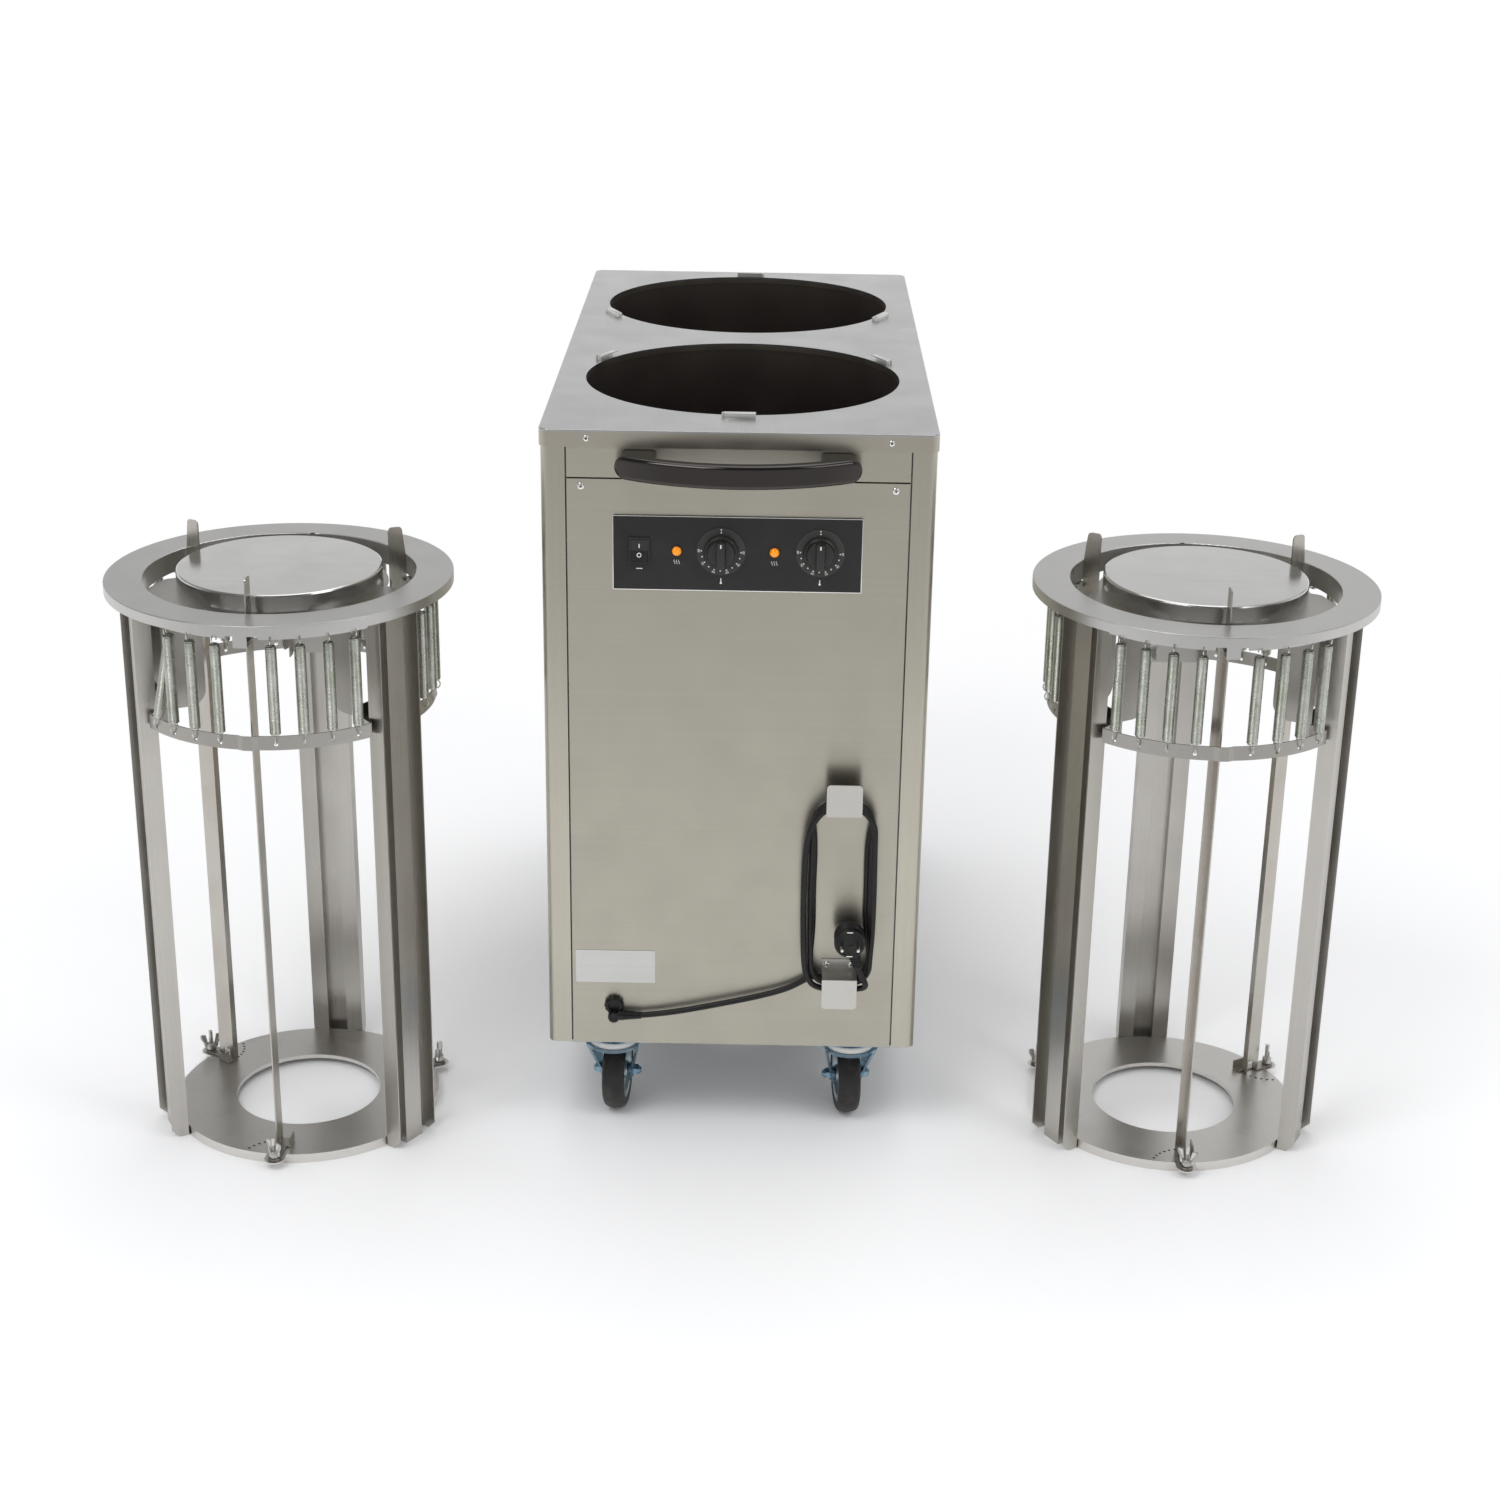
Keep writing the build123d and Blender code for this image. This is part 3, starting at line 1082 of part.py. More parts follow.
def flange():
    """Top flange with throat, spring hook strips and the guides' upper pivot brackets."""
    s = LIFTER_SHEET
    top = LIFTER_HEIGHT
    shape = turned((THROAT_R, THROAT_LOW), (THROAT_R + s, THROAT_LOW), (THROAT_R + s, FLANGE_UNDER),
                   (FLANGE_R - s, FLANGE_UNDER), (FLANGE_R - s, top - FLANGE_RIM),
                   (FLANGE_R, top - FLANGE_RIM), (FLANGE_R, top), (THROAT_R, top))
    shape = fillet(shape.edges().filter_by(GeomType.CIRCLE).filter_by(
        lambda e: abs(e.center().Z - top) < 0.01), s * 0.6)
    shape -= upright(THROAT_R, 0, FLANGE_UNDER, top, NOTCH_R)
    plate_at = GUIDE_AT + FOOT_R + BRACKET_GAP
    leg_z = ARM_TOP - FOOT_T - BRACKET_DROP
    parts = []
    for side in (-1, 1):
        a, b = sorted((side * HOOK_RING_START, side * BAND_SPAN))
        parts.append(arc_strip(BAND_R, s, a, b, top - s - HOOK_RING_TALL, FLANGE_UNDER))
    strip = parts[0] + parts[1]
    for hole in hook_holes(HIGH_WIRE_Z + EYELET_SHIFT):
        strip -= hole
    bracket = block(plate_at, plate_at + s, -BRACKET_W / 2, BRACKET_W / 2, leg_z, FLANGE_UNDER)
    bracket += block(GUIDE_AT - FOOT_R, plate_at + s, -BRACKET_W / 2, BRACKET_W / 2,
                     leg_z, leg_z + s)
    bracket += upright(GUIDE_AT, 0, leg_z, FLANGE_UNDER, PIVOT_R)
    for angle in GUIDES:
        shape += turned_about(strip, angle)
        shape += turned_about(bracket, angle)
    return shape


def base_ring():
    """Base ring with the guides' ears and pivot studs, and the wing nuts on them."""
    s = LIFTER_SHEET
    under = BASE_TOP - s
    shape = turned((BASE_HOLE_R, BASE_TOP - BASE_LIP), (BASE_HOLE_R + s, BASE_TOP - BASE_LIP),
                   (BASE_HOLE_R + s, under), (BASE_R - s, under), (BASE_R - s, 0), (BASE_R, 0),
                   (BASE_R, BASE_TOP), (BASE_HOLE_R, BASE_TOP))
    for angle in RAILS:
        flat = block(RAIL_FACE - SEAT, BASE_R + 1, -RAIL_W, RAIL_W, 0, BASE_TOP)
        shape -= turned_about(flat, angle)
        seat = block(RAIL_FACE - SEAT - s, RAIL_FACE - SEAT, -RAIL_W / 3, RAIL_W / 3, 0, BASE_TOP)
        shape += turned_about(seat, angle)
    ear = block(BASE_R - 2 * s, GUIDE_AT, -EAR_R, EAR_R, under, BASE_TOP)
    ear += upright(GUIDE_AT, 0, under, BASE_TOP, EAR_R)
    stud = upright(GUIDE_AT, 0, under, FOOT_Z + FOOT_T + WING_TALL + STUD_OVER, PIVOT_R)
    detents = []
    for step in range(DETENTS):
        a = math.radians(step * DETENT_STEP)
        detents.append(upright(GUIDE_AT - DETENT_R * math.cos(a), -DETENT_R * math.sin(a),
                               under, BASE_TOP, DETENT_HOLE))
    for angle in GUIDES:
        shape += turned_about(ear + stud, angle)
        for hole in detents:
            shape -= turned_about(hole, angle)
    low = FOOT_Z + FOOT_T + GUIDE_FOOT_GAP
    nut = ring(PIVOT_R, WING_HUB_R, low, low + WING_HUB_TALL)
    root = PIVOT_R + WING_ROOT
    wing = Polygon((root, low + 1), (WING_HUB_R + WING_OUT / 2, low + WING_OUT / 2),
                   (WING_HUB_R + WING_OUT, low + WING_TALL), (WING_HUB_R + 1, low + WING_TALL - 1),
                   (root, low + WING_HUB_TALL), align=None)
    for side in (0, 180):
        nut += turned_about(extrude(Plane.XZ * wing, WING_HALF, both=True), side + WING_TURN)
    for angle in GUIDES:
        shape += turned_about(Pos(GUIDE_AT, 0, 0) * nut, angle)
    return shape


def guide():
    """Plate guide for the pivot at angle 0: a tall thin web with a bent inner lip."""
    s = GUIDE_SHEET
    tip = LIFTER_HEIGHT + GUIDE_TOP
    web = Polygon((GUIDE_IN, FOOT_Z), (GUIDE_OUT, FOOT_Z), (GUIDE_OUT, ARM_TOP),
                  (GUIDE_THROAT, ARM_TOP), (GUIDE_THROAT, LIFTER_HEIGHT + GUIDE_NECK),
                  (GUIDE_TIP_OUT, tip), (GUIDE_IN, tip), align=None)
    plate = extrude(Plane.XZ * web, s / 2, both=True)
    crest = [e for e in plate.edges().filter_by(Axis.Y) if abs(e.center().Z - tip) < 0.01]
    plate = fillet(crest, GUIDE_ROUND)
    plate -= block(GUIDE_IN + WINDOW_IN, GUIDE_OUT - ARM_ROOT, -s, s, FOOT_Z + FOOT_T,
                   FOOT_Z + FOOT_T + FOOT_WINDOW)
    plate += block(GUIDE_IN, GUIDE_IN + s, -GUIDE_LIP, 0, FOOT_Z, THROAT_LOW - ARM_BELOW)
    arm = block(GUIDE_OUT - ARM_ROOT, GUIDE_AT, -FOOT_R, FOOT_R, 0, FOOT_T)
    arm += upright(GUIDE_AT, 0, 0, FOOT_T, FOOT_R)
    foot = arm + block(TAB_IN, TAB_IN + TAB_LONG, 0, TAB_AT, 0, FOOT_T)
    foot += block(GUIDE_IN, GUIDE_OUT, -s / 2, FOOT_R, 0, FOOT_T)
    foot += block(TAB_IN, TAB_IN + TAB_LONG, TAB_AT - s, TAB_AT, 0, TAB_TALL)
    plate += Pos(0, 0, FOOT_Z) * foot
    plate += Pos(0, 0, ARM_TOP - FOOT_T) * arm
    plate -= upright(GUIDE_AT, 0, 0, tip, PIVOT_R + PIVOT_FIT)
    return plate


def carrier_plate():
    """Round plate with a lobe towards each rail."""
    outline = Circle(CARRIER_R)
    root = CARRIER_R / 2
    lobe = Polygon((root, -LOBE_HALF), (LOBE_WAIST, -LOBE_HALF), (LOBE_REACH, -LOBE_TIP),
                   (LOBE_REACH, LOBE_TIP), (LOBE_WAIST, LOBE_HALF), (root, LOBE_HALF), align=None)
    lobe = fillet([v for v in lobe.vertices() if v.X > root + 1], LOBE_ROUND)
    for angle in RAILS:
        outline += Rot(0, 0, angle) * lobe
    return Pos(0, 0, CARRIER_Z - LIFTER_SHEET) * prism(outline, LIFTER_SHEET)


def hanger():
    """Sheet under a lobe with its tongue cranked out to the end of a spring band."""
    s = LIFTER_SHEET
    tongue = LOBE_REACH - TONGUE_W
    top = CARRIER_Z - s
    side = Polygon((HANGER_IN, top), (HANGER_IN, HANGER_Z), (tongue, HANGER_Z), (tongue, BAND_Z),
                   (LOBE_REACH, BAND_Z), (LOBE_REACH, top), align=None)
    sheet = extrude(Plane.XZ * side, s / 2, both=True)
    inner = [e for e in sheet.edges().filter_by(Axis.Y)
             if abs(e.center().Z - HANGER_Z) < 0.01 and abs(e.center().X - HANGER_IN) < 0.01]
    sheet = Pos(0, HANGER_AT + s / 2, 0) * fillet(inner, HANGER_ROUND)
    end = math.radians((GUIDES[0] - RAILS[0]) - BAND_SPAN)
    far = Vector(BAND_R * math.cos(end), BAND_R * math.sin(end))
    near = Vector(LOBE_REACH - s, HANGER_AT + s)
    along = (far - near).normalized()
    across = Vector(-along.Y, along.X) * (s / 2)
    far = far + along * s
    corners = (near - across, far - across, far + across, near + across)
    crank = prism(Polygon(*[(c.X, c.Y) for c in corners], align=None), BAND_TALL)
    inside = Cylinder(BAND_R - s / 2, BAND_TALL, align=(Align.CENTER, Align.CENTER, Align.MIN))
    return sheet + Pos(0, 0, BAND_Z) * (crank & inside)


def spring_band():
    """Strip that the springs pull on, as its kink round the guide at angle 0 and two arcs."""
    s = LIFTER_SHEET
    start = math.degrees(math.asin(KINK_HALF / BAND_R))
    band = arc_strip(BAND_R, s, start, BAND_SPAN, BAND_Z, BAND_Z + BAND_TALL)
    band += mirror(band, Plane.XZ)
    inner = BAND_R * math.cos(math.radians(start)) - s / 2
    outer = inner + s
    lap = KINK_HALF + s / 3
    bump = Polygon((inner, -lap), (inner + KINK_OUT, -KINK_HALF / 2), (inner + KINK_OUT, KINK_HALF / 2),
                   (inner, lap), (outer, lap), (outer + KINK_OUT, KINK_HALF / 2),
                   (outer + KINK_OUT, -KINK_HALF / 2), (outer, -lap), align=None)
    band += Pos(0, 0, BAND_Z) * prism(bump, BAND_TALL)
    for hole in hook_holes(LOW_WIRE_Z - EYELET_SHIFT):
        band -= hole
    kink = block(0, 2 * BAND_R, -KINK_HALF, KINK_HALF, BAND_Z, BAND_Z + BAND_TALL)
    return [band & kink] + list((band - kink).solids())


def carrier():
    """Lobed plate, three pairs of hangers with their bridges and slide shoes, three bands."""
    s = LIFTER_SHEET
    pieces = [carrier_plate()]
    post = hanger()
    shoe_top = CARRIER_Z - SHOE_DROP + SHOE_TALL / 2
    shoe_low = shoe_top - SHOE_TALL
    bridge = block(LOBE_REACH - s, LOBE_REACH, -HANGER_AT, HANGER_AT, shoe_low, shoe_top)
    shoe_half = RAIL_CROWN / 2 - s - SHOE_GAP
    shoe = block(LOBE_REACH, RAIL_FACE + RAIL_DEEP - s - SHOE_GAP, -shoe_half, shoe_half,
                 shoe_low, shoe_top)
    for angle in RAILS:
        for piece in (post, mirror(post, Plane.XZ), bridge, shoe):
            pieces.append(turned_about(piece, angle))
    band = spring_band()
    return pieces + [turned_about(piece, angle) for angle in GUIDES for piece in band]


def platform():
    s = LIFTER_SHEET
    r = PLATFORM_R
    top = PLATFORM_TOP
    soft = PLATFORM_ROUND
    third = soft / 3
    return turned((0, top - s), (r - s - third, top - s), (r - s, top - s - third), (r - s, CARRIER_Z),
                  (r, CARRIER_Z), (r, top - soft), (r - third, top - third), (r - soft, top), (0, top))


def spring():
    """Closed coil shown as its outer form, with an open curl at each end, at angle 0."""
    n = SPRING_NECK_R
    body = turned((0, COIL_LOW), (n, COIL_LOW), (SPRING_R, COIL_LOW + SPRING_TAPER),
                  (SPRING_R, COIL_TOP - SPRING_TAPER), (n, COIL_TOP), (0, COIL_TOP))
    curl = revolve(Pos(CURL_R, 0) * Circle(WIRE_R), Axis.Y, CURL_ARC)
    low = Pos(0, 0, COIL_LOW - CURL_R) * Rot(0, -90, 0) * curl
    high = Pos(0, 0, COIL_TOP + CURL_R) * Rot(0, 90, 0) * curl
    return body + low + high


# ---------------------------------------------------------------- the set put together
def lean(shape):
    """The one spring that has slipped off its upper hole leans on its neighbour."""
    pivot = Pos(0, 0, LOW_WIRE_Z)
    return pivot * Rot(-LEAN_SIDE, -LEAN_IN, 0) * pivot.inverse() * shape


def springs(leaning):
    """Springs of one lifter; with leaning the first of the front arc hangs askew."""
    found = []
    one = spring()
    for guide_angle in GUIDES:
        for angle in SPRING_ANGLES:
            for side in (-1, 1):
                askew = leaning and guide_angle == LEAN_GUIDE and side * angle == LEAN_ANGLE
                shape = lean(one) if askew else one
                found.append(turned_about(Pos(BAND_R, 0, 0) * shape, guide_angle + side * angle))
    return found


def lifter(name, x, y, turn, leaning):
    """All nodes of one lifter, standing at its place beside the cart."""
    place = Pos(x, y, 0) * Rot(0, 0, turn)
    nodes = {
        f"{name}_flange": [flange()],
        f"{name}_rails": [turned_about(rail(), angle) for angle in RAILS],
        f"{name}_base_ring": [base_ring()],
        f"{name}_carrier": carrier(),
        f"{name}_platform": [platform()],
        f"{name}_springs": springs(leaning),
    }
    for number, angle in enumerate(GUIDES, start=1):
        nodes[f"{name}_guide_{number}"] = [turned_about(guide(), angle)]
    return {node: [place * shape for shape in shapes] for node, shapes in nodes.items()}


def castors():
    """Plate, fork, wheel and tyre of all four castors."""
    nodes = {"castor_plates": []}
    fork = castor_fork()
    wheel, tyre = wheel_pair()
    for name, x, y, turn in castor_places():
        place = Pos(x, y, 0) * Rot(0, 0, turn)
        hub = place * Pos(0, CASTOR_TRAIL, WHEEL_R)
        nodes["castor_plates"].append(castor_plate(x, y))
        nodes[f"castor_fork_{name}"] = [place * fork]
        nodes[f"castor_wheel_{name}"] = [hub * wheel]
        nodes[f"castor_tyre_{name}"] = [hub * tyre]
    return nodes


def cords():
    """Lead, winding and plug of the mains cord."""
    lead, _ = cord_tube(lead_points(), "cord_lead")
    winding, path = cord_tube(winding_points(), "cord_winding")
    print(f"cord_winding: least gap between turns {least_gap(path, 1400):.2f}")
    body, pins = plug_parts()
    return {"cord_lead": [lead], "cord_winding": [winding], "plug": [body], "plug_pins": pins}


def main():
    os.makedirs("parts", exist_ok=True)
    nodes = {
        "deck": [deck()],
        "side_panel_left": [side_panel(-1)],
        "side_panel_right": [side_panel(1)],
        "front_top_strip": [front_top_strip()],
        "front_panel": [front_panel()],
        "back_panel": [back_panel()],
        "bottom_pan": [bottom_pan()],
        "inner_frame": inner_frame(),
        "well_liners": well_liners(),
        "heating_elements": heating_elements(),
        "rim_clips": rim_clips(),
        "control_box": [control_box()],
        "control_panel": [control_panel()],
        "dial_rings": dial_rings(),
        "thermostats": thermostats(),
        "indicator_lamps": indicator_lamps(),
        "switch_housing": [switch_housing()],
        "switch_rocker": [switch_rocker()],
        "knob_left": [knob(KNOB_X[0])],
        "knob_right": [knob(KNOB_X[1])],
        "handle": [handle()],
        "cord_hooks": [cord_hook(LOW_ARM_Z, False), cord_hook(HIGH_ARM_Z, True)],
        "cable_gland": [cable_gland()],
        "rating_plate": [rating_plate()],
        "fasteners": fasteners(),
    }
    nodes.update(cords())
    nodes.update(castors())
    nodes.update(lifter("left", LIFTER_LEFT_X, LIFTER_LEFT_Y, LIFTER_LEFT_TURN, True))
    nodes.update(lifter("right", LIFTER_RIGHT_X, LIFTER_RIGHT_Y, LIFTER_RIGHT_TURN, False))
    origin = Pos(ORIGIN_X, ORIGIN_Y, 0)
    for node, shapes in nodes.items():
        placed = [origin * shape for shape in shapes]
        whole = placed[0] if len(placed) == 1 else Compound(children=placed)
        export_step(whole, f"parts/{node}.step")
    print(f"nodes: {len(nodes)}")


main()
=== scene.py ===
"""Looks of a heated plate dispenser cart and its two plate lifters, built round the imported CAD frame."""

import json
import logging
import math
from abc import ABC, abstractmethod
from dataclasses import dataclass, field
from enum import Enum
from typing import Iterable, Sequence

import bmesh
import bpy
from mathutils import Euler, Matrix, Vector

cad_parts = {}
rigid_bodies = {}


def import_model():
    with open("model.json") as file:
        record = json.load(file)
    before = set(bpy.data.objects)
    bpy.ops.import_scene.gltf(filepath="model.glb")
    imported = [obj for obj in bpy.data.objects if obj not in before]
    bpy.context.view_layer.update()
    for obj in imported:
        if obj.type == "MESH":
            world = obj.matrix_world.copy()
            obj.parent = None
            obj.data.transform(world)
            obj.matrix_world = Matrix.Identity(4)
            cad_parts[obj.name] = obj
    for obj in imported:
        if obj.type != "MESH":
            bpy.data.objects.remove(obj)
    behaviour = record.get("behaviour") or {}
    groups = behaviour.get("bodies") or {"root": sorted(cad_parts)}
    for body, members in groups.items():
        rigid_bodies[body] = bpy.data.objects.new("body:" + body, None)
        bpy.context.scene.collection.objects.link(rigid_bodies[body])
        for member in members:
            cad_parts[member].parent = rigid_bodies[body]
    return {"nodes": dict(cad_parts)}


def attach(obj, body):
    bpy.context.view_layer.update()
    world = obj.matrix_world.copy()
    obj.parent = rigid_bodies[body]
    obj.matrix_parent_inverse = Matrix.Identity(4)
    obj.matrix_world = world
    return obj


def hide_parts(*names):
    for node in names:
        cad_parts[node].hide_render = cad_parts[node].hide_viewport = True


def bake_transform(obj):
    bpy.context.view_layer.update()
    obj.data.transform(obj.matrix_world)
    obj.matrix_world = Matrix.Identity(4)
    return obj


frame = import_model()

LOG = logging.getLogger("plate_cart")
MM = 0.001

Point = tuple[float, float, float]
Color = tuple[float, float, float]
Span = tuple[float, float, float, float]
Profile = tuple[tuple[float, float], ...]

WHITE = (1.0, 1.0, 1.0, 1.0)
BLACK = (0.0, 0.0, 0.0, 1.0)


# ---------------------------------------------------------------- shared sizes, as in the CAD, in millimetres
@dataclass(frozen=True)
class Cart:
    """Sizes of the cart that its detailed pieces are placed by, about the cart's own centre."""

    origin_x: float = -6.35
    origin_y: float = 61.55
    face_y: float = 469.3
    skirt_y: float = 471.0
    deck_top: float = 897.0
    front_well_y: float = -202.0
    back_well_y: float = 243.0
    control_face: float = 471.3
    row_z: float = 758.0
    knob_x: tuple[float, float] = (-18.6, 94.1)
    lamp_x: tuple[float, float] = (-69.0, 42.0)
    switch_x: float = -111.6
    dial_t: float = 0.8
    hook_x: float = 129.2
    low_arm_z: float = 233.0
    high_arm_z: float = 445.5
    gland_x: float = -143.2
    gland_z: float = 181.0
    castor_x: float = 147.0
    castor_y: float = 422.0

    def place(self, x: float, y: float, z: float) -> Matrix:
        """Move from the cart's own centre to the set's frame.

        Args:
            x: Millimetres to the right of the cart's middle.
            y: Millimetres behind the cart's middle.
            z: Millimetres above the floor.

        Returns:
            The translation, in metres.
        """
        return Matrix.Translation(((x + self.origin_x) * MM, (y + self.origin_y) * MM, z * MM))

    def facing(self, x: float, y: float, z: float) -> Matrix:
        """As place, for a shape drawn along +Z that is to point to the front."""
        return self.place(x, y, z) @ Matrix.Rotation(math.radians(90), 4, "X")


CART = Cart()


@dataclass(frozen=True)
class LifterPlace:
    """Where one plate lifter stands."""

    name: str
    x: float
    y: float
    turn: float
    leaning: bool

    def frame(self) -> Matrix:
        """Lifter's own axis and rail direction in the set's frame."""
        return CART.place(self.x, self.y, 0) @ Matrix.Rotation(math.radians(self.turn), 4, "Z")


LIFTERS = (
    LifterPlace("left", -538.0, -391.4, 86.2, True),
    LifterPlace("right", 550.7, -370.5, 91.6, False),
)
GUIDE_ANGLES = (60.0, 180.0, 300.0)


# ---------------------------------------------------------------- node graphs
class Graph:
    """Short way to write a shader node tree."""

    def __init__(self, tree: bpy.types.NodeTree) -> None:
        self.tree = tree
        tree.nodes.clear()

    def add(self, kind: str, **props: object) -> bpy.types.Node:
        """New node with the attributes given."""
        node = self.tree.nodes.new(kind)
        for key, value in props.items():
            setattr(node, key, value)
        return node

    def put(self, socket: bpy.types.NodeSocket, value: object) -> None:
        """Link a socket to another, or set its value."""
        if isinstance(value, bpy.types.NodeSocket):
            self.tree.links.new(value, socket)
        else:
            socket.default_value = value

    def split(self, vector: object) -> tuple[bpy.types.NodeSocket, ...]:
        """X, Y and Z of a vector."""
        node = self.add("ShaderNodeSeparateXYZ")
        self.put(node.inputs[0], vector)
        return tuple(node.outputs)

    def math(self, operation: str, a: object, b: object = 0.0) -> bpy.types.NodeSocket:
        """Result of a Math node."""
        node = self.add("ShaderNodeMath", operation=operation)
        self.put(node.inputs[0], a)
        self.put(node.inputs[1], b)
        return node.outputs[0]

    def mix(self, factor: object, a: object, b: object, mode: str = "MIX") -> bpy.types.NodeSocket:
        """Colour between a and b."""
        node = self.add("ShaderNodeMix", data_type="RGBA", blend_type=mode)
        self.put(node.inputs[0], factor)
        self.put(node.inputs[6], a)
        self.put(node.inputs[7], b)
        return node.outputs[2]

    def span(self, value: object, low: float, high: float, to_low: float,
             to_high: float) -> bpy.types.NodeSocket:
        """Value mapped from one range to another, clamped."""
        node = self.add("ShaderNodeMapRange")
        self.put(node.inputs[0], value)
        for index, number in enumerate((low, high, to_low, to_high), start=1):
            node.inputs[index].default_value = number
        return node.outputs[0]

    def coords(self, scale: Sequence[float] = (1, 1, 1)) -> bpy.types.NodeSocket:
        """Object coordinates, stretched."""
        source = self.add("ShaderNodeTexCoord")
        mapping = self.add("ShaderNodeMapping")
        self.put(mapping.inputs["Vector"], source.outputs["Object"])
        mapping.inputs["Scale"].default_value = scale
        return mapping.outputs[0]

    def noise(self, vector: object, scale: float, detail: float = 2.0,
              rough: float = 0.5) -> bpy.types.NodeSocket:
        """Factor of a Noise Texture."""
        node = self.add("ShaderNodeTexNoise")
        self.put(node.inputs["Vector"], vector)
        node.inputs["Scale"].default_value = scale
        node.inputs["Detail"].default_value = detail
        node.inputs["Roughness"].default_value = rough
        return node.outputs[0]

    def bump(self, height: object, strength: float, distance: float) -> bpy.types.NodeSocket:
        """Normal from a height."""
        node = self.add("ShaderNodeBump")
        self.put(node.inputs["Height"], height)
        node.inputs["Strength"].default_value = strength
        node.inputs["Distance"].default_value = distance
        return node.outputs[0]

    def surface(self, **inputs: object) -> None:
        """Principled surface and output; names as in the node, with _ for a space."""
        shader = self.add("ShaderNodeBsdfPrincipled")
        for name, value in inputs.items():
            self.put(shader.inputs[name.replace("_", " ")], value)
        output = self.add("ShaderNodeOutputMaterial")
        self.put(output.inputs["Surface"], shader.outputs[0])


def rgba(color: Color, factor: float = 1.0) -> tuple[float, float, float, float]:
    """Colour scaled and given an alpha of 1."""
    return (color[0] * factor, color[1] * factor, color[2] * factor, 1.0)


# ---------------------------------------------------------------- finishes
class Grain(Enum):
    """Direction that brushing runs in; reflections are drawn out across it."""

    ALONG_X = (1.0, 0.0, 0.0)
    ALONG_Y = (0.0, 1.0, 0.0)
    UPRIGHT = (0.0, 0.0, 1.0)
    NONE = (0.0, 0.0, 0.0)

    def stretch(self, fine: float) -> Point:
        """Scale of a texture that is long along the grain and fine across it."""
        return tuple(2.0 if axis else fine for axis in self.value)

    def across(self) -> Point:
        """Way that reflections are drawn out in on an upright face."""
        return (1.0, 0.0, 0.0) if self in (Grain.UPRIGHT, Grain.ALONG_Y) else (0.0, 0.0, 1.0)


@dataclass(frozen=True)
class Finish(ABC):
    """A surface finish, made into a material the first time it is asked for."""

    name: str

    def material(self) -> bpy.types.Material:
        """The finish's material.

        Returns:
            The Blender material, made once per name.
        """
        label = f"{self.name}_look"
        made = bpy.data.materials.get(label)
        if made is None:
            made = bpy.data.materials.new(label)
            made.use_nodes = True
            self.draw(Graph(made.node_tree))
        return made

    @abstractmethod
    def draw(self, graph: Graph) -> None:
        """Write the node graph."""


HAIR_FINE = 2600.0               # hairlines across one metre
STREAK_FINE = 190.0              # broader streaks across one metre
CLOUD_SCALE = 3.2                # dull patches, per metre
SMUDGE_SCALE = 17.0              # heat tint and handling marks, per metre
# below these heights the deck steel takes the skirt tint, a painted reflection on the upright rim
SKIRT_FADE = (0.8935, 0.8955)    # heights in metres between which the deck's skirt turns into its top


@dataclass(frozen=True)
class Steel(Finish):
    """Brushed stainless steel with hairlines, faint dull patches and heat tint.

    skirt, where it's given, tints the deck's turned-down rim darker and warmer than its top: a painted
    reflection, since rim and top are one sheet of steel.
    """

    color: Color = (0.50, 0.48, 0.44)
    rough: float = 0.28
    grain: Grain = Grain.UPRIGHT
    hairline: float = 0.10
    patches: float = 0.10
    drawn: float = 0.6
    tint: Color = (0.36, 0.30, 0.22)
    tinting: float = 0.0
    skirt: Color | None = None

    def draw(self, graph: Graph) -> None:
        hair = graph.noise(graph.coords(self.grain.stretch(HAIR_FINE)), 1.0, 2.0, 0.5)
        streak = graph.noise(graph.coords(self.grain.stretch(STREAK_FINE)), 1.0, 3.0, 0.6)
        plain = graph.coords()
        cloud = graph.noise(plain, CLOUD_SCALE, 3.0, 0.55)
        smudge = graph.noise(plain, SMUDGE_SCALE, 3.0, 0.55)
        fine = graph.mix(graph.span(hair, 0.3, 0.7, 0.0, 1.0), rgba(self.color, 0.94), rgba(self.color, 1.04))
        light = graph.mix(graph.span(streak, 0.35, 0.65, 0.0, 0.35), fine, rgba(self.color, 0.93))
        worn = graph.mix(graph.span(cloud, 0.42, 0.68, 0.0, self.patches), light, rgba(self.color, 0.84))
        tinted = graph.mix(graph.span(smudge, 0.45, 0.7, 0.0, self.tinting), worn, rgba(self.tint))
        # painted reflection: below the fold the colour is multiplied by the skirt tint
        if self.skirt is not None:
            _, _, height = graph.split(plain)
            below = graph.span(height, SKIRT_FADE[0], SKIRT_FADE[1], 1.0, 0.0)
            tinted = graph.mix(below, tinted, rgba(self.skirt), "MULTIPLY")
        rough = graph.math("ADD", graph.span(smudge, 0.35, 0.7, self.rough - 0.02, self.rough + 0.04),
                           graph.span(hair, 0.3, 0.7, -0.02, 0.03))
        inputs = {"Base_Color": tinted, "Metallic": 1.0, "Roughness": rough,
                  "Normal": graph.bump(hair, self.hairline, 0.00004)}
        if self.grain is not Grain.NONE:
            way = graph.add("ShaderNodeCombineXYZ")
            for socket, share in zip(way.inputs, self.grain.across()):
                socket.default_value = share
            inputs.update(Anisotropic=self.drawn, Tangent=way.outputs[0])
        graph.surface(**inputs)


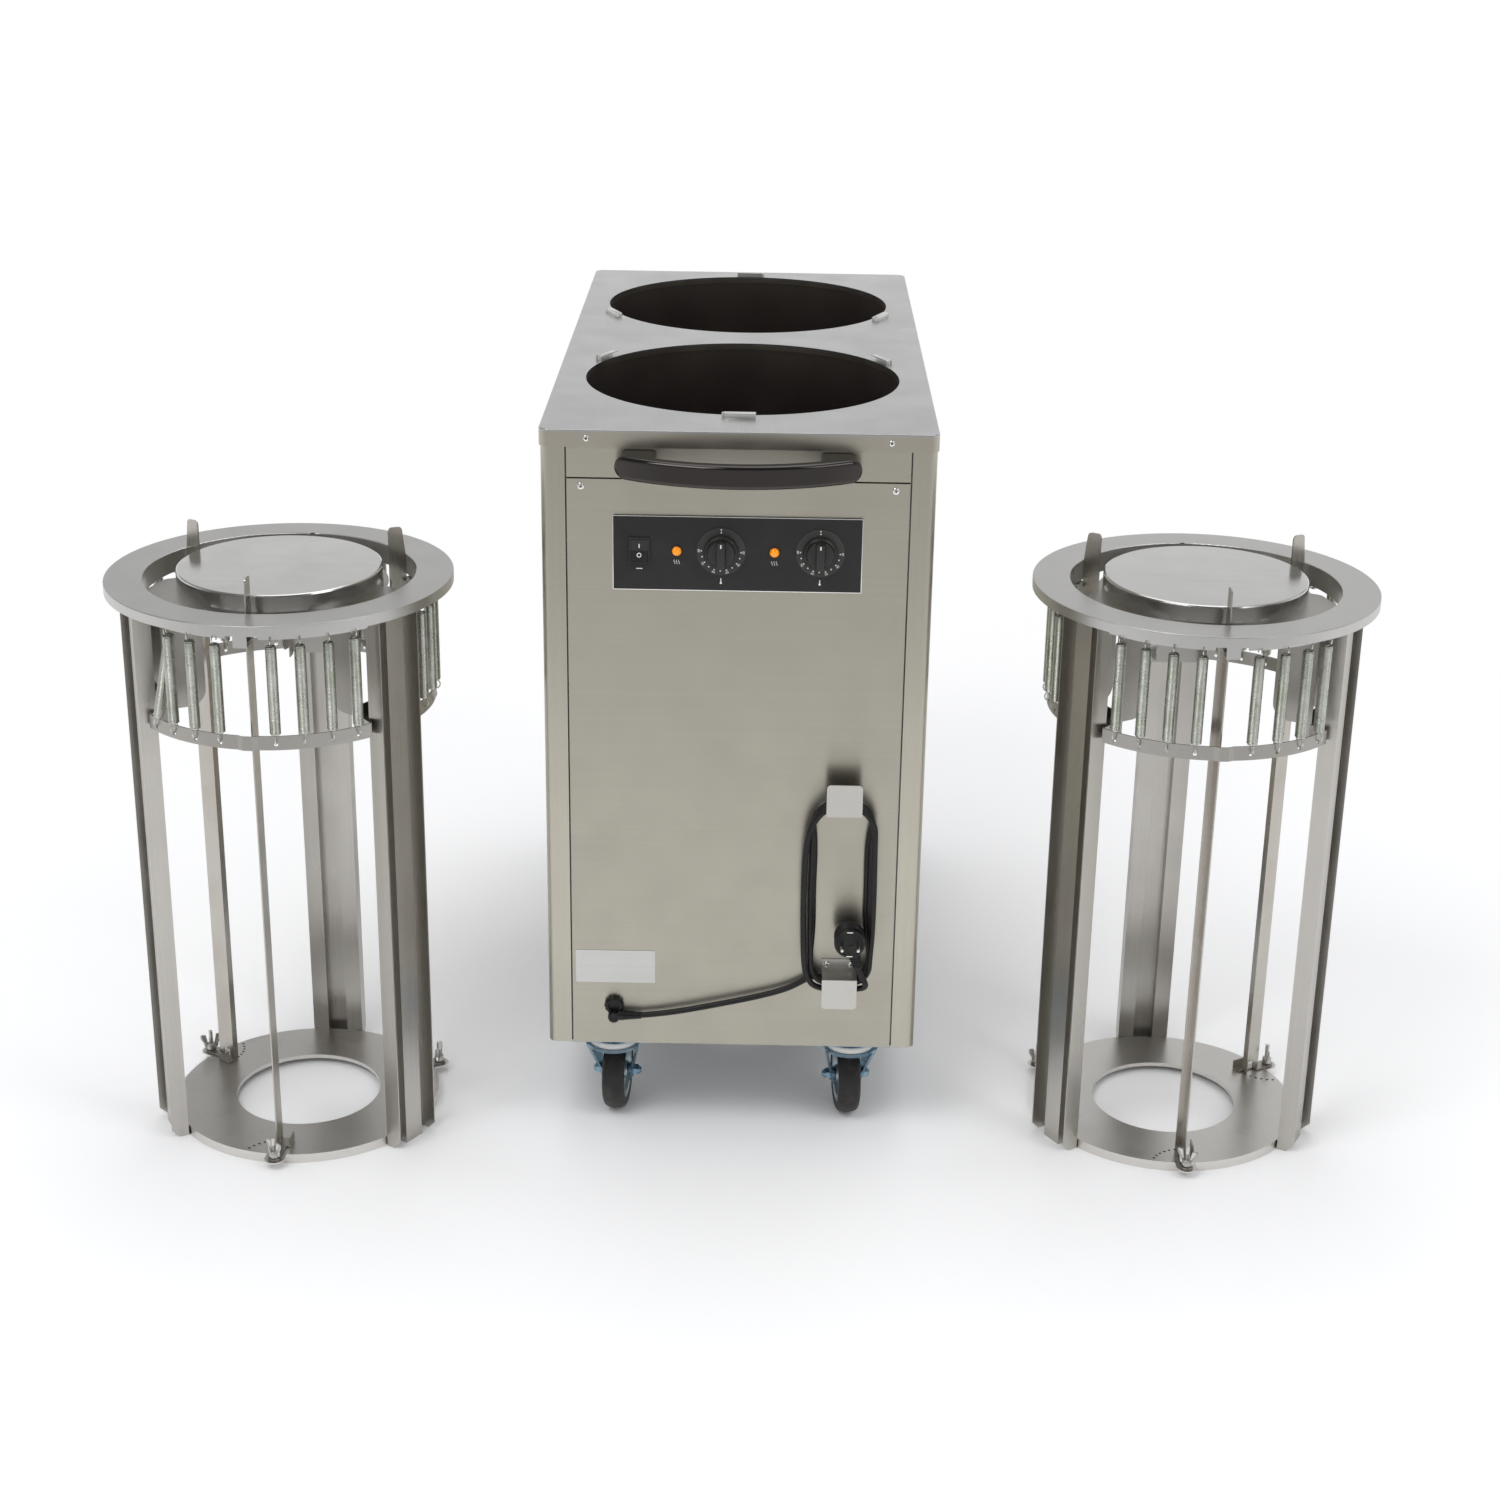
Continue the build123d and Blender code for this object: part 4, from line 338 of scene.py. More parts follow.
@dataclass(frozen=True)
class Zinc(Finish):
    """Zinc plating: spangled, blue or slightly yellow passivation."""

    color: Color = (0.36, 0.44, 0.52)
    other: Color = (0.50, 0.54, 0.56)
    rough: float = 0.3
    spangle: float = 90.0

    def draw(self, graph: Graph) -> None:
        plain = graph.coords()
        cells = graph.add("ShaderNodeTexVoronoi")
        graph.put(cells.inputs["Vector"], plain)
        cells.inputs["Scale"].default_value = self.spangle
        film = graph.noise(plain, 26.0, 3.0, 0.6)
        grit = graph.noise(plain, 600.0, 2.0, 0.5)
        color = graph.mix(graph.span(film, 0.35, 0.66, 0.0, 1.0), rgba(self.color), rgba(self.other))
        edge = graph.span(cells.outputs["Distance"], 0.1, 0.8, 0.0, 0.22)
        patch = graph.mix(edge, color, rgba(self.color, 0.72))
        rough = graph.span(film, 0.3, 0.7, self.rough - 0.06, self.rough + 0.12)
        graph.surface(Base_Color=patch, Metallic=1.0, Roughness=rough, Normal=graph.bump(grit, 0.12, 0.0002))


@dataclass(frozen=True)
class Moulded(Finish):
    """Moulded plastic or rubber with a fine skin, faint dust and lighter worn edges."""

    color: Color = (0.012, 0.012, 0.013)
    rough: float = 0.35
    skin: float = 0.15
    skin_scale: float = 900.0
    dust: float = 0.15
    dust_color: Color = (0.22, 0.21, 0.19)
    gloss: float = 0.5
    sheen: Color = (1.0, 1.0, 1.0)

    def draw(self, graph: Graph) -> None:
        plain = graph.coords()
        skin = graph.noise(plain, self.skin_scale, 3.0, 0.6)
        cloud = graph.noise(plain, 22.0, 4.0, 0.62)
        geometry = graph.add("ShaderNodeNewGeometry")
        edge = graph.span(geometry.outputs["Pointiness"], 0.52, 0.60, 0.0, 0.35)
        lying = graph.span(cloud, 0.48, 0.75, 0.0, self.dust)
        dusty = graph.mix(lying, rgba(self.color), rgba(self.dust_color))
        worn = graph.mix(edge, dusty, rgba(self.color, 2.4))
        rough = graph.span(cloud, 0.3, 0.7, self.rough - 0.05, self.rough + 0.10)
        graph.surface(Base_Color=worn, Roughness=rough, Normal=graph.bump(skin, self.skin, 0.0002),
                      Specular_IOR_Level=self.gloss, Specular_Tint=rgba(self.sheen))


@dataclass(frozen=True)
class Glow(Finish):
    """Translucent lens of an indicator lamp, with a painted glow and a painted darker rim."""

    color: Color = (0.82, 0.27, 0.004)

    def draw(self, graph: Graph) -> None:
        plain = graph.coords()
        grain = graph.noise(plain, 300.0, 2.0, 0.5)
        # painted shade: the lens turns dark red towards its outline, by the angle it is seen at
        facing = graph.add("ShaderNodeLayerWeight")
        facing.inputs["Blend"].default_value = 0.45
        rim = graph.span(facing.outputs["Facing"], 0.35, 0.95, 0.0, 1.0)
        color = graph.mix(rim, rgba(self.color), (0.22, 0.04, 0.0, 1.0))
        # painted glow: the lens emits light in its own colour, though the plug hangs on its hooks and the
        # lamp is off
        graph.surface(Base_Color=color, Roughness=graph.span(grain, 0.3, 0.7, 0.05, 0.12),
                      Subsurface_Weight=0.3, Subsurface_Scale=0.004, Coat_Weight=0.7,
                      Emission_Color=color, Emission_Strength=0.35)


@dataclass(frozen=True)
class Paint(Finish):
    """Thin printed or painted layer with slightly uneven cover."""

    color: Color = (0.75, 0.75, 0.73)
    rough: float = 0.45

    def draw(self, graph: Graph) -> None:
        cover = graph.noise(graph.coords(), 900.0, 3.0, 0.6)
        color = graph.mix(graph.span(cover, 0.3, 0.7, 0.0, 1.0), rgba(self.color, 0.88), rgba(self.color))
        graph.surface(Base_Color=color, Roughness=self.rough, Normal=graph.bump(cover, 0.05, 0.0001))


@dataclass(frozen=True)
class Scorched(Finish):
    """Heating element's sheath, blued and browned by heat."""

    color: Color = (0.10, 0.08, 0.07)

    def draw(self, graph: Graph) -> None:
        plain = graph.coords()
        film = graph.noise(plain, 30.0, 4.0, 0.65)
        color = graph.mix(graph.span(film, 0.35, 0.65, 0.0, 1.0), rgba(self.color), (0.16, 0.13, 0.15, 1.0))
        graph.surface(Base_Color=color, Metallic=0.8, Roughness=graph.span(film, 0.3, 0.7, 0.4, 0.65),
                      Normal=graph.bump(graph.noise(plain, 700.0), 0.2, 0.0002))


# skirt: painted reflection tint on the deck's upright rim, which is the same sheet as the top
DECK_STEEL = Steel("deck_brushed", color=(0.495, 0.50, 0.495), rough=0.30, grain=Grain.ALONG_Y, drawn=0.4,
                   skirt=(0.99, 0.92, 0.80))
BODY_STEEL = Steel("body_brushed", color=(0.50, 0.475, 0.405), rough=0.30, grain=Grain.UPRIGHT)
FRONT_STEEL = Steel("front_brushed", color=(0.50, 0.475, 0.405), rough=0.32, grain=Grain.ALONG_X, drawn=0.8)
INNER_STEEL = Zinc("inner_galvanised", color=(0.34, 0.35, 0.35), other=(0.44, 0.45, 0.45), rough=0.45,
                   spangle=60.0)
LINER_STEEL = Steel("liner_dark", color=(0.27, 0.235, 0.22), rough=0.42, grain=Grain.UPRIGHT, patches=0.25)
LIFTER_STEEL = Steel("lifter_satin", color=(0.53, 0.51, 0.475), rough=0.30, grain=Grain.UPRIGHT, drawn=0.5,
                     hairline=0.06, patches=0.06)
FLANGE_STEEL = Steel("flange_satin", color=(0.575, 0.57, 0.555), rough=0.32, grain=Grain.NONE, hairline=0.03)
GUIDE_STEEL = Steel("guide_tinted", color=(0.52, 0.495, 0.455), rough=0.27, tinting=0.12,
                    tint=(0.34, 0.25, 0.17))
CARRIER_STEEL = Steel("carrier_satin", color=(0.40, 0.385, 0.36), rough=0.30, grain=Grain.NONE, hairline=0.03)
# painted light: the base ring's colour is set lighter than the flange's to make up for the shade that the
# rails and carrier cast on it
BASE_STEEL = Steel("base_tinted", color=(0.74, 0.72, 0.69), rough=0.30, grain=Grain.NONE, hairline=0.03,
                   patches=0.04, tinting=0.04)
PLATFORM_STEEL = Steel("platform_satin", color=(0.60, 0.595, 0.58), rough=0.16, grain=Grain.ALONG_X,
                       drawn=0.3)
HOOK_STEEL = Steel("hook_satin", color=(0.60, 0.585, 0.55), rough=0.36, grain=Grain.NONE, hairline=0.03)
BLUE_ZINC = Zinc("castor_blue_zinc", color=(0.20, 0.34, 0.46), other=(0.40, 0.50, 0.56), rough=0.26)
WHEEL_ZINC = Zinc("wheel_blue_zinc", color=(0.28, 0.38, 0.44), other=(0.46, 0.54, 0.56), rough=0.3,
                  spangle=40.0)
SPRING_ZINC = Zinc("spring_zinc", color=(0.66, 0.68, 0.60), other=(0.84, 0.85, 0.81), rough=0.24,
                   spangle=150.0)
NUT_ZINC = Zinc("nut_pale_zinc", color=(0.46, 0.46, 0.44), other=(0.58, 0.58, 0.56), rough=0.30)
BLACK_PANEL = Moulded("panel_charcoal", color=(0.014, 0.013, 0.013), rough=0.42, skin=0.05, dust=0.04,
                      gloss=0.3)
BLACK_DIAL = Moulded("dial_black", color=(0.018, 0.019, 0.017), rough=0.5, skin=0.1)
BLACK_KNOB = Moulded("knob_black", color=(0.018, 0.017, 0.016), rough=0.38, skin=0.25, dust=0.05)
BLACK_SWITCH = Moulded("switch_black", color=(0.015, 0.014, 0.014), rough=0.3, skin=0.12, dust=0.05)
HANDLE_BLACK = Moulded("handle_black", color=(0.004, 0.003, 0.0025), rough=0.05, skin=0.01, dust=0.01,
                       gloss=0.75, sheen=(1.0, 0.92, 0.89))
CORD_BLACK = Moulded("cord_black", color=(0.007, 0.006, 0.006), rough=0.38, skin=0.2, skin_scale=500.0,
                     dust=0.04, gloss=0.35)
PLUG_BLACK = Moulded("plug_black", color=(0.007, 0.007, 0.007), rough=0.4, skin=0.35, skin_scale=700.0,
                     dust=0.04, gloss=0.35)
GLAND_BLACK = Moulded("gland_black", color=(0.004, 0.004, 0.004), rough=0.30, skin=0.2, dust=0.03, gloss=0.35)
TYRE_BLACK = Moulded("tyre_black", color=(0.015, 0.013, 0.012), rough=0.50, skin=0.4, skin_scale=350.0,
                     dust=0.20, gloss=0.4)
PALE_PLASTIC = Moulded("pale_plastic", color=(0.62, 0.62, 0.60), rough=0.4, dust=0.2,
                       dust_color=(0.4, 0.38, 0.34))
AMBER = Glow("lamp_amber")
WHITE_PRINT = Paint("white_print")
BARE_PLATE = Steel("bare_plate", color=(0.70, 0.70, 0.675), rough=0.4, grain=Grain.ALONG_X, hairline=0.1)
CLIP_STEEL = Steel("clip_bright", color=(0.80, 0.80, 0.78), rough=0.34, grain=Grain.NONE, hairline=0.03,
                   patches=0.04)
RIVET_STEEL = Steel("rivet_bright", color=(0.88, 0.88, 0.85), rough=0.22, grain=Grain.NONE, hairline=0.03,
                    patches=0.04)
PIN_BRIGHT = Steel("pin_bright", color=(0.86, 0.85, 0.81), rough=0.16, grain=Grain.NONE, hairline=0.05)
ELEMENT_DARK = Scorched("element_dark")

CAD_FINISHES: dict[str, Finish] = {
    "deck": DECK_STEEL,
    "side_panel_left": BODY_STEEL,
    "side_panel_right": BODY_STEEL,
    "front_top_strip": FRONT_STEEL,
    "front_panel": FRONT_STEEL,
    "back_panel": FRONT_STEEL,
    "bottom_pan": INNER_STEEL,
    "inner_frame": INNER_STEEL,
    "control_box": INNER_STEEL,
    "thermostats": PALE_PLASTIC,
    "well_liners": LINER_STEEL,
    "heating_elements": ELEMENT_DARK,
    "control_panel": BLACK_PANEL,
    "dial_rings": BLACK_DIAL,
    "switch_housing": BLACK_SWITCH,
    "switch_rocker": BLACK_SWITCH,
    "handle": HANDLE_BLACK,
    "cord_hooks": HOOK_STEEL,
    "rating_plate": BARE_PLATE,
    "castor_plates": BLUE_ZINC,
}


# ---------------------------------------------------------------- mesh shapes
class Shape:
    """Vertices and faces in metres, gathered from simple parts and made into one piece."""

    def __init__(self) -> None:
        self.verts: list[Vector] = []
        self.faces: list[tuple[int, ...]] = []

    def add(self, other: "Shape", matrix: Matrix = Matrix.Identity(4)) -> "Shape":
        """Append another shape, moved by the matrix."""
        base = len(self.verts)
        self.verts += [matrix @ v for v in other.verts]
        self.faces += [tuple(base + i for i in f) for f in other.faces]
        return self

    @classmethod
    def lathe(cls, profile: Iterable[tuple[float, float]], segments: int = 48) -> "Shape":
        """Solid of revolution about Z from (radius, height) points in millimetres."""
        shape = cls()
        rows: list[list[int]] = []
        for radius, height in profile:
            if radius == 0:
                shape.verts.append(Vector((0, 0, height * MM)))
                rows.append([len(shape.verts) - 1] * segments)
                continue
            row = []
            for k in range(segments):
                a = 2 * math.pi * k / segments
                shape.verts.append(Vector((radius * math.cos(a), radius * math.sin(a), height)) * MM)
                row.append(len(shape.verts) - 1)
            rows.append(row)
        for low, high in zip(rows, rows[1:]):
            for k in range(segments):
                n = (k + 1) % segments
                face = []
                for index in (low[k], low[n], high[n], high[k]):
                    if index not in face:
                        face.append(index)
                if len(face) > 2:
                    shape.faces.append(tuple(face))
        return shape

    @classmethod
    def tube(cls, points: Sequence[Vector], radius: float, sides: int = 8) -> "Shape":
        """Round tube along points in metres; the radius is in millimetres."""
        shape = cls()
        normal = Vector((0.31, 0.57, 0.76))
        count = len(points)
        for i, point in enumerate(points):
            way = (points[min(i + 1, count - 1)] - points[max(i - 1, 0)]).normalized()
            normal = (normal - way * normal.dot(way)).normalized()
            side = way.cross(normal)
            for k in range(sides):
                a = 2 * math.pi * k / sides
                shape.verts.append(point + (normal * math.cos(a) + side * math.sin(a)) * radius * MM)
        for i in range(count - 1):
            for k in range(sides):
                n = (k + 1) % sides
                a, b = i * sides, (i + 1) * sides
                shape.faces.append((a + k, a + n, b + n, b + k))
        shape.faces.append(tuple(reversed(range(sides))))
        shape.faces.append(tuple((count - 1) * sides + k for k in range(sides)))
        return shape

    @classmethod
    def slab(cls, outline: Sequence[tuple[float, float]], low: float, high: float) -> "Shape":
        """Straight-sided plate over a counter-clockwise outline, millimetres."""
        shape = cls()
        count = len(outline)
        for z in (low, high):
            shape.verts += [Vector((x, y, z)) * MM for x, y in outline]
        shape.faces.append(tuple(reversed(range(count))))
        shape.faces.append(tuple(range(count, 2 * count)))
        for k in range(count):
            n = (k + 1) % count
            shape.faces.append((k, n, count + n, count + k))
        return shape

    @classmethod
    def soft_box(cls, size: Point, radius: float, segments: int = 3) -> "Shape":
        """Box about the origin with rounded edges, millimetres."""
        mesh = bmesh.new()
        bmesh.ops.create_cube(mesh, size=1.0)
        for vert in mesh.verts:
            vert.co = Vector([vert.co[i] * size[i] * MM for i in range(3)])
        bmesh.ops.bevel(mesh, geom=mesh.edges[:], offset=radius * MM, segments=segments, profile=0.5,
                        affect="EDGES")
        return cls.from_bmesh(mesh)

    @classmethod
    def from_bmesh(cls, mesh: bmesh.types.BMesh) -> "Shape":
        """Shape of a bmesh, which is freed."""
        shape = cls()
        mesh.verts.index_update()
        shape.verts = [v.co.copy() for v in mesh.verts]
        shape.faces = [tuple(v.index for v in f.verts) for f in mesh.faces]
        mesh.free()
        return shape

    @classmethod
    def text(cls, body: str, size: float) -> "Shape":
        """Flat characters in the XY plane, centred, millimetres high."""
        curve = bpy.data.curves.new("characters", "FONT")
        curve.body = body
        curve.size = size * MM
        curve.align_x = "CENTER"
        curve.align_y = "CENTER"
        curve.extrude = 0.03 * MM
        curve.resolution_u = 3
        holder = bpy.data.objects.new("characters", curve)
        mesh = bpy.data.meshes.new_from_object(holder)
        shape = cls()
        shape.verts = [v.co.copy() for v in mesh.vertices]
        shape.faces = [tuple(p.vertices) for p in mesh.polygons]
        bpy.data.objects.remove(holder)
        bpy.data.curves.remove(curve)
        bpy.data.meshes.remove(mesh)
        return shape

    def piece(self, name: str, finish: Finish, sharp: float = 38.0) -> bpy.types.Object:
        """Make the Blender object.

        Args:
            name: Object name.
            finish: Surface finish.
            sharp: Angle in degrees above which an edge stays sharp.

        Returns:
            The object, at the scene's origin.
        """
        mesh = bpy.data.meshes.new(name)
        mesh.from_pydata([tuple(v) for v in self.verts], [], self.faces)
        mesh.validate()
        tidy = bmesh.new()
        tidy.from_mesh(mesh)
        bmesh.ops.remove_doubles(tidy, verts=tidy.verts[:], dist=1e-7)
        bmesh.ops.recalc_face_normals(tidy, faces=tidy.faces[:])
        tidy.to_mesh(mesh)
        tidy.free()
        mesh.shade_smooth()
        mesh.set_sharp_from_angle(angle=math.radians(sharp))
        mesh.materials.append(finish.material())
        obj = bpy.data.objects.new(name, mesh)
        bpy.context.scene.collection.objects.link(obj)
        return obj


# ---------------------------------------------------------------- repeats
class Repeat:
    """Copies of one shape on given places, made with Geometry Nodes and then baked."""

    def __init__(self, name: str, shape: Shape, finish: Finish, sharp: float = 38.0) -> None:
        self.name = name
        self.finish = finish
        self.pattern = shape.piece(f"{name}_pattern", finish, sharp)

    def tree(self) -> bpy.types.NodeTree:
        """Geometry tree with the named inputs Places, Pattern, Size and Material."""
        tree = bpy.data.node_groups.new(f"{self.name}_repeat", "GeometryNodeTree")
        face = tree.interface
        face.new_socket(name="Places", in_out="INPUT", socket_type="NodeSocketGeometry")
        face.new_socket(name="Pattern", in_out="INPUT", socket_type="NodeSocketObject")
        face.new_socket(name="Size", in_out="INPUT", socket_type="NodeSocketFloat")
        face.new_socket(name="Material", in_out="INPUT", socket_type="NodeSocketMaterial")
        face.new_socket(name="Geometry", in_out="OUTPUT", socket_type="NodeSocketGeometry")
        source = tree.nodes.new("NodeGroupInput")
        pattern = tree.nodes.new("GeometryNodeObjectInfo")
        turn = tree.nodes.new("GeometryNodeInputNamedAttribute")
        turn.data_type = "FLOAT_VECTOR"
        turn.inputs["Name"].default_value = "turn"
        copies = tree.nodes.new("GeometryNodeInstanceOnPoints")
        real = tree.nodes.new("GeometryNodeRealizeInstances")
        paint = tree.nodes.new("GeometryNodeSetMaterial")
        sink = tree.nodes.new("NodeGroupOutput")
        link = tree.links.new
        link(source.outputs["Pattern"], pattern.inputs["Object"])
        link(source.outputs["Places"], copies.inputs["Points"])
        link(pattern.outputs["Geometry"], copies.inputs["Instance"])
        link(turn.outputs["Attribute"], copies.inputs["Rotation"])
        link(source.outputs["Size"], copies.inputs["Scale"])
        link(copies.outputs["Instances"], real.inputs["Geometry"])
        link(real.outputs["Geometry"], paint.inputs["Geometry"])
        link(source.outputs["Material"], paint.inputs["Material"])
        link(paint.outputs["Geometry"], sink.inputs["Geometry"])
        return tree

    def piece(self, places: Sequence[Matrix]) -> bpy.types.Object:
        """Bake the copies.

        Args:
            places: Where each copy stands, in metres.

        Returns:
            One object with all the copies.
        """
        mesh = bpy.data.meshes.new(f"{self.name}_places")
        mesh.from_pydata([tuple(m.translation) for m in places], [], [])
        turn = mesh.attributes.new("turn", "FLOAT_VECTOR", "POINT")
        for item, matrix in zip(turn.data, places):
            item.vector = matrix.to_euler()
        holder = bpy.data.objects.new(self.name, mesh)
        bpy.context.scene.collection.objects.link(holder)
        modifier = holder.modifiers.new("repeat", "NODES")
        modifier.node_group = self.tree()
        values = {"Pattern": self.pattern, "Size": 1.0, "Material": self.finish.material()}
        for item in modifier.node_group.interface.items_tree:
            if item.in_out == "INPUT" and item.name in values:
                modifier[item.identifier] = values[item.name]
        bpy.context.view_layer.update()
        baked = bpy.data.meshes.new_from_object(holder.evaluated_get(bpy.context.evaluated_depsgraph_get()))
        holder.modifiers.clear()
        holder.data = baked
        if not baked.materials:
            baked.materials.append(self.finish.material())
        bpy.data.meshes.remove(mesh)
        used = self.pattern.data
        bpy.data.objects.remove(self.pattern)
        bpy.data.meshes.remove(used)
        return holder


# ---------------------------------------------------------------- camera, light, floor
@dataclass
class Studio:
    """Camera as in the photograph, soft white light and a pale floor."""

    camera_at: Point = (32.85, -3166.75, 1598.4)
    pitch: float = -21.42
    yaw: float = -0.45
    roll: float = 0.86
    lens: float = 60.77
    backdrop: float = 1.0
    front_to_back: Span = (-0.35, 0.35, 0.0, 1.0)    # how the room behind the camera turns into the backdrop
    backdrop_low: Span = (0.16, 0.25, 1.0, 0.90)     # backdrop's tone over height, seen in the tops
    backdrop_high: Span = (0.28, 0.34, 0.0, 0.24)
    dark_left: Span = (-0.20, 0.12, 0.36, 0.0)
    dark_left_from: Span = (0.36, 0.50, 0.0, 1.0)
    dark_band: Span = (0.33, 0.37, 0.0, 0.22)
    dark_band_end: Span = (0.42, 0.50, 1.0, 0.0)
    room_fall: Span = (-0.08, 0.40, 0.70, 0.16)      # room behind the camera, from the floor up
    ambient: Color = (0.78, 0.78, 0.79)
    floor_half: float = 30.0
    floor_fall: Span = (-2.8, -1.0, 0.62, 1.0)       # floor seen in the steel, towards the camera
    floor_clear: Span = (1.0, 2.4, 0.0, 1.0)         # metres from the middle at which the shadow ends
    lamps: tuple[tuple[str, Point, Point, float, float], ...] = (
        ("key", (-1.8, -2.6, 4.2), (0.0, 0.0, 0.4), 2.2, 60.0),
        ("fill", (2.8, -2.2, 3.4), (0.0, 0.0, 0.5), 1.8, 24.0),
        ("top", (0.0, 0.8, 4.6), (0.0, 0.0, 0.4), 3.0, 40.0),
    )

    def camera(self) -> None:
        """Place the solved camera."""
        pitch, yaw, roll = (math.radians(a) for a in (self.pitch, self.yaw, self.roll))
        ahead = Vector((math.sin(yaw) * math.cos(pitch), math.cos(yaw) * math.cos(pitch), math.sin(pitch)))
        right = Vector((math.cos(yaw), -math.sin(yaw), 0))
        up = right.cross(ahead)
        level, upright = right, up
        right = level * math.cos(roll) + upright * math.sin(roll)
        up = upright * math.cos(roll) - level * math.sin(roll)
        data = bpy.data.cameras.new("camera")
        data.sensor_width = 36.0
        data.lens = self.lens
        data.clip_end = 60.0
        camera = bpy.data.objects.new("camera", data)
        turn = Matrix((right, up, -ahead)).transposed().to_4x4()
        camera.matrix_world = Matrix.Translation(Vector(self.camera_at) * MM) @ turn
        bpy.context.scene.collection.objects.link(camera)
        bpy.context.scene.camera = camera

    def world(self) -> None:
        """White backdrop behind and beside the object, a darker room behind the camera."""
        world = bpy.data.worlds.new("studio")
        world.use_nodes = True
        graph = Graph(world.node_tree)
        where = graph.add("ShaderNodeTexCoord").outputs["Generated"]
        across, depth, height = graph.split(where)
        backdrop = graph.span(depth, *self.front_to_back)
        low = graph.span(height, *self.backdrop_low)
        high = graph.span(height, *self.backdrop_high)
        left = graph.math("MULTIPLY", graph.span(across, *self.dark_left),
                          graph.span(height, *self.dark_left_from))
        band = graph.math("MULTIPLY", graph.span(height, *self.dark_band),
                          graph.span(height, *self.dark_band_end))
        far = graph.math("SUBTRACT", graph.math("SUBTRACT", graph.math("SUBTRACT", low, high), left), band)
        near = graph.span(height, *self.room_fall)
        level = graph.math("ADD", graph.math("MULTIPLY", backdrop, far),
                           graph.math("MULTIPLY", graph.math("SUBTRACT", 1.0, backdrop), near))
        room = graph.mix(level, BLACK, WHITE)
        seen = graph.add("ShaderNodeLightPath")
        shown = graph.math("MAXIMUM", seen.outputs["Is Camera Ray"], seen.outputs["Is Transmission Ray"])
        lit = graph.math("MAXIMUM", shown, seen.outputs["Is Diffuse Ray"])
        color = graph.mix(lit, room, graph.mix(shown, rgba(self.ambient), WHITE))
        background = graph.add("ShaderNodeBackground")
        graph.put(background.inputs["Color"], color)
        background.inputs["Strength"].default_value = self.backdrop
        output = graph.add("ShaderNodeOutputWorld")
        graph.put(output.inputs["Surface"], background.outputs[0])
        bpy.context.scene.world = world

    def lamp(self, name: str, place: Point, aim: Point, size: float, power: float) -> None:
        """Square soft light aimed at a point, metres and watts."""
        data = bpy.data.lights.new(name, "AREA")
        data.shape = "SQUARE"
        data.size = size
        data.energy = power
        light = bpy.data.objects.new(name, data)
        way = Vector(aim) - Vector(place)
        light.matrix_world = Matrix.Translation(place) @ way.to_track_quat("-Z", "Y").to_matrix().to_4x4()
        light.visible_camera = False
        bpy.context.scene.collection.objects.link(light)

    def floor(self) -> None:
        """Pale floor, pure white where nothing shades it."""
        mesh = bpy.data.meshes.new("floor")
        far = self.floor_half
        mesh.from_pydata([(-far, -far, 0), (far, -far, 0), (far, far, 0), (-far, far, 0)], [], [(0, 1, 2, 3)])
        material = bpy.data.materials.new("floor_white")
        material.use_nodes = True
        graph = Graph(material.node_tree)
        plain = graph.coords()
        stain = graph.noise(plain, 1.5, 2.0, 0.5)
        stained = graph.span(stain, 0.3, 0.7, 0.0, 1.0)
        color = graph.mix(stained, (0.945, 0.95, 0.96, 1.0), (0.955, 0.96, 0.965, 1.0))
        matt = graph.add("ShaderNodeBsdfDiffuse")
        graph.put(matt.inputs["Color"], color)
        _, depth, _ = graph.split(plain)
        dim = graph.span(depth, *self.floor_fall)
        away = graph.add("ShaderNodeVectorMath", operation="LENGTH")
        graph.put(away.inputs[0], plain)
        seen = graph.add("ShaderNodeLightPath")
        level = graph.math("MAXIMUM", seen.outputs["Is Camera Ray"], dim)
        white = graph.add("ShaderNodeEmission")
        graph.put(white.inputs["Strength"], level)
        through = graph.math("MAXIMUM", seen.outputs["Is Glossy Ray"], seen.outputs["Is Transmission Ray"])
        shown = graph.math("MAXIMUM", seen.outputs["Is Camera Ray"], through)
        share = graph.math("MULTIPLY", graph.span(away.outputs["Value"], *self.floor_clear), shown)
        blend = graph.add("ShaderNodeMixShader")
        graph.put(blend.inputs[0], share)
        graph.put(blend.inputs[1], matt.outputs[0])
        graph.put(blend.inputs[2], white.outputs[0])
        output = graph.add("ShaderNodeOutputMaterial")
        graph.put(output.inputs["Surface"], blend.outputs[0])
        mesh.materials.append(material)
        floor = bpy.data.objects.new("floor", mesh)
        bpy.context.scene.collection.objects.link(floor)

    def make(self) -> None:
        """Set up everything that isn't the object."""
        self.camera()
        self.world()
        for lamp in self.lamps:
            self.lamp(*lamp)
        self.floor()
        scene = bpy.context.scene
        scene.view_settings.view_transform = "Standard"


# ---------------------------------------------------------------- cord
GLAND_DOME: Profile = ((11.3, 5.2), (11.0, 6.6), (10.0, 8.2), (8.4, 8.9), (6.8, 8.9), (6.0, 7.6), (5.8, 6.2),
                       (0, 6.2))
GLAND_LOBE: Profile = ((0, 0), (7.0, 0), (7.2, 0.4), (7.2, 13.2), (6.7, 15.0), (5.4, 15.9), (3.2, 16.0),
                       (2.6, 15.2), (0, 15.2))
PLUG_BACK: Profile = ((0, 0), (14.6, 0), (16.4, 0.9), (17.8, 2.6), (18.3, 4.6))
PLUG_FACE: Profile = ((18.5, 23.0), (18.5, 27.4), (17.9, 29.0), (16.9, 29.8), (15.4, 29.9), (15.1, 29.4),
                      (14.4, 28.6), (0, 28.6))
PLUG_PIN: Profile = ((0, -1.4), (2.4, -1.4), (2.4, 16.2), (2.1, 17.8), (1.4, 18.8), (0.6, 19.0), (0, 19.0))
SLEEVE_FOOT: Profile = ((3.75, -6.0), (6.4, -6.0), (6.6, -1.0))
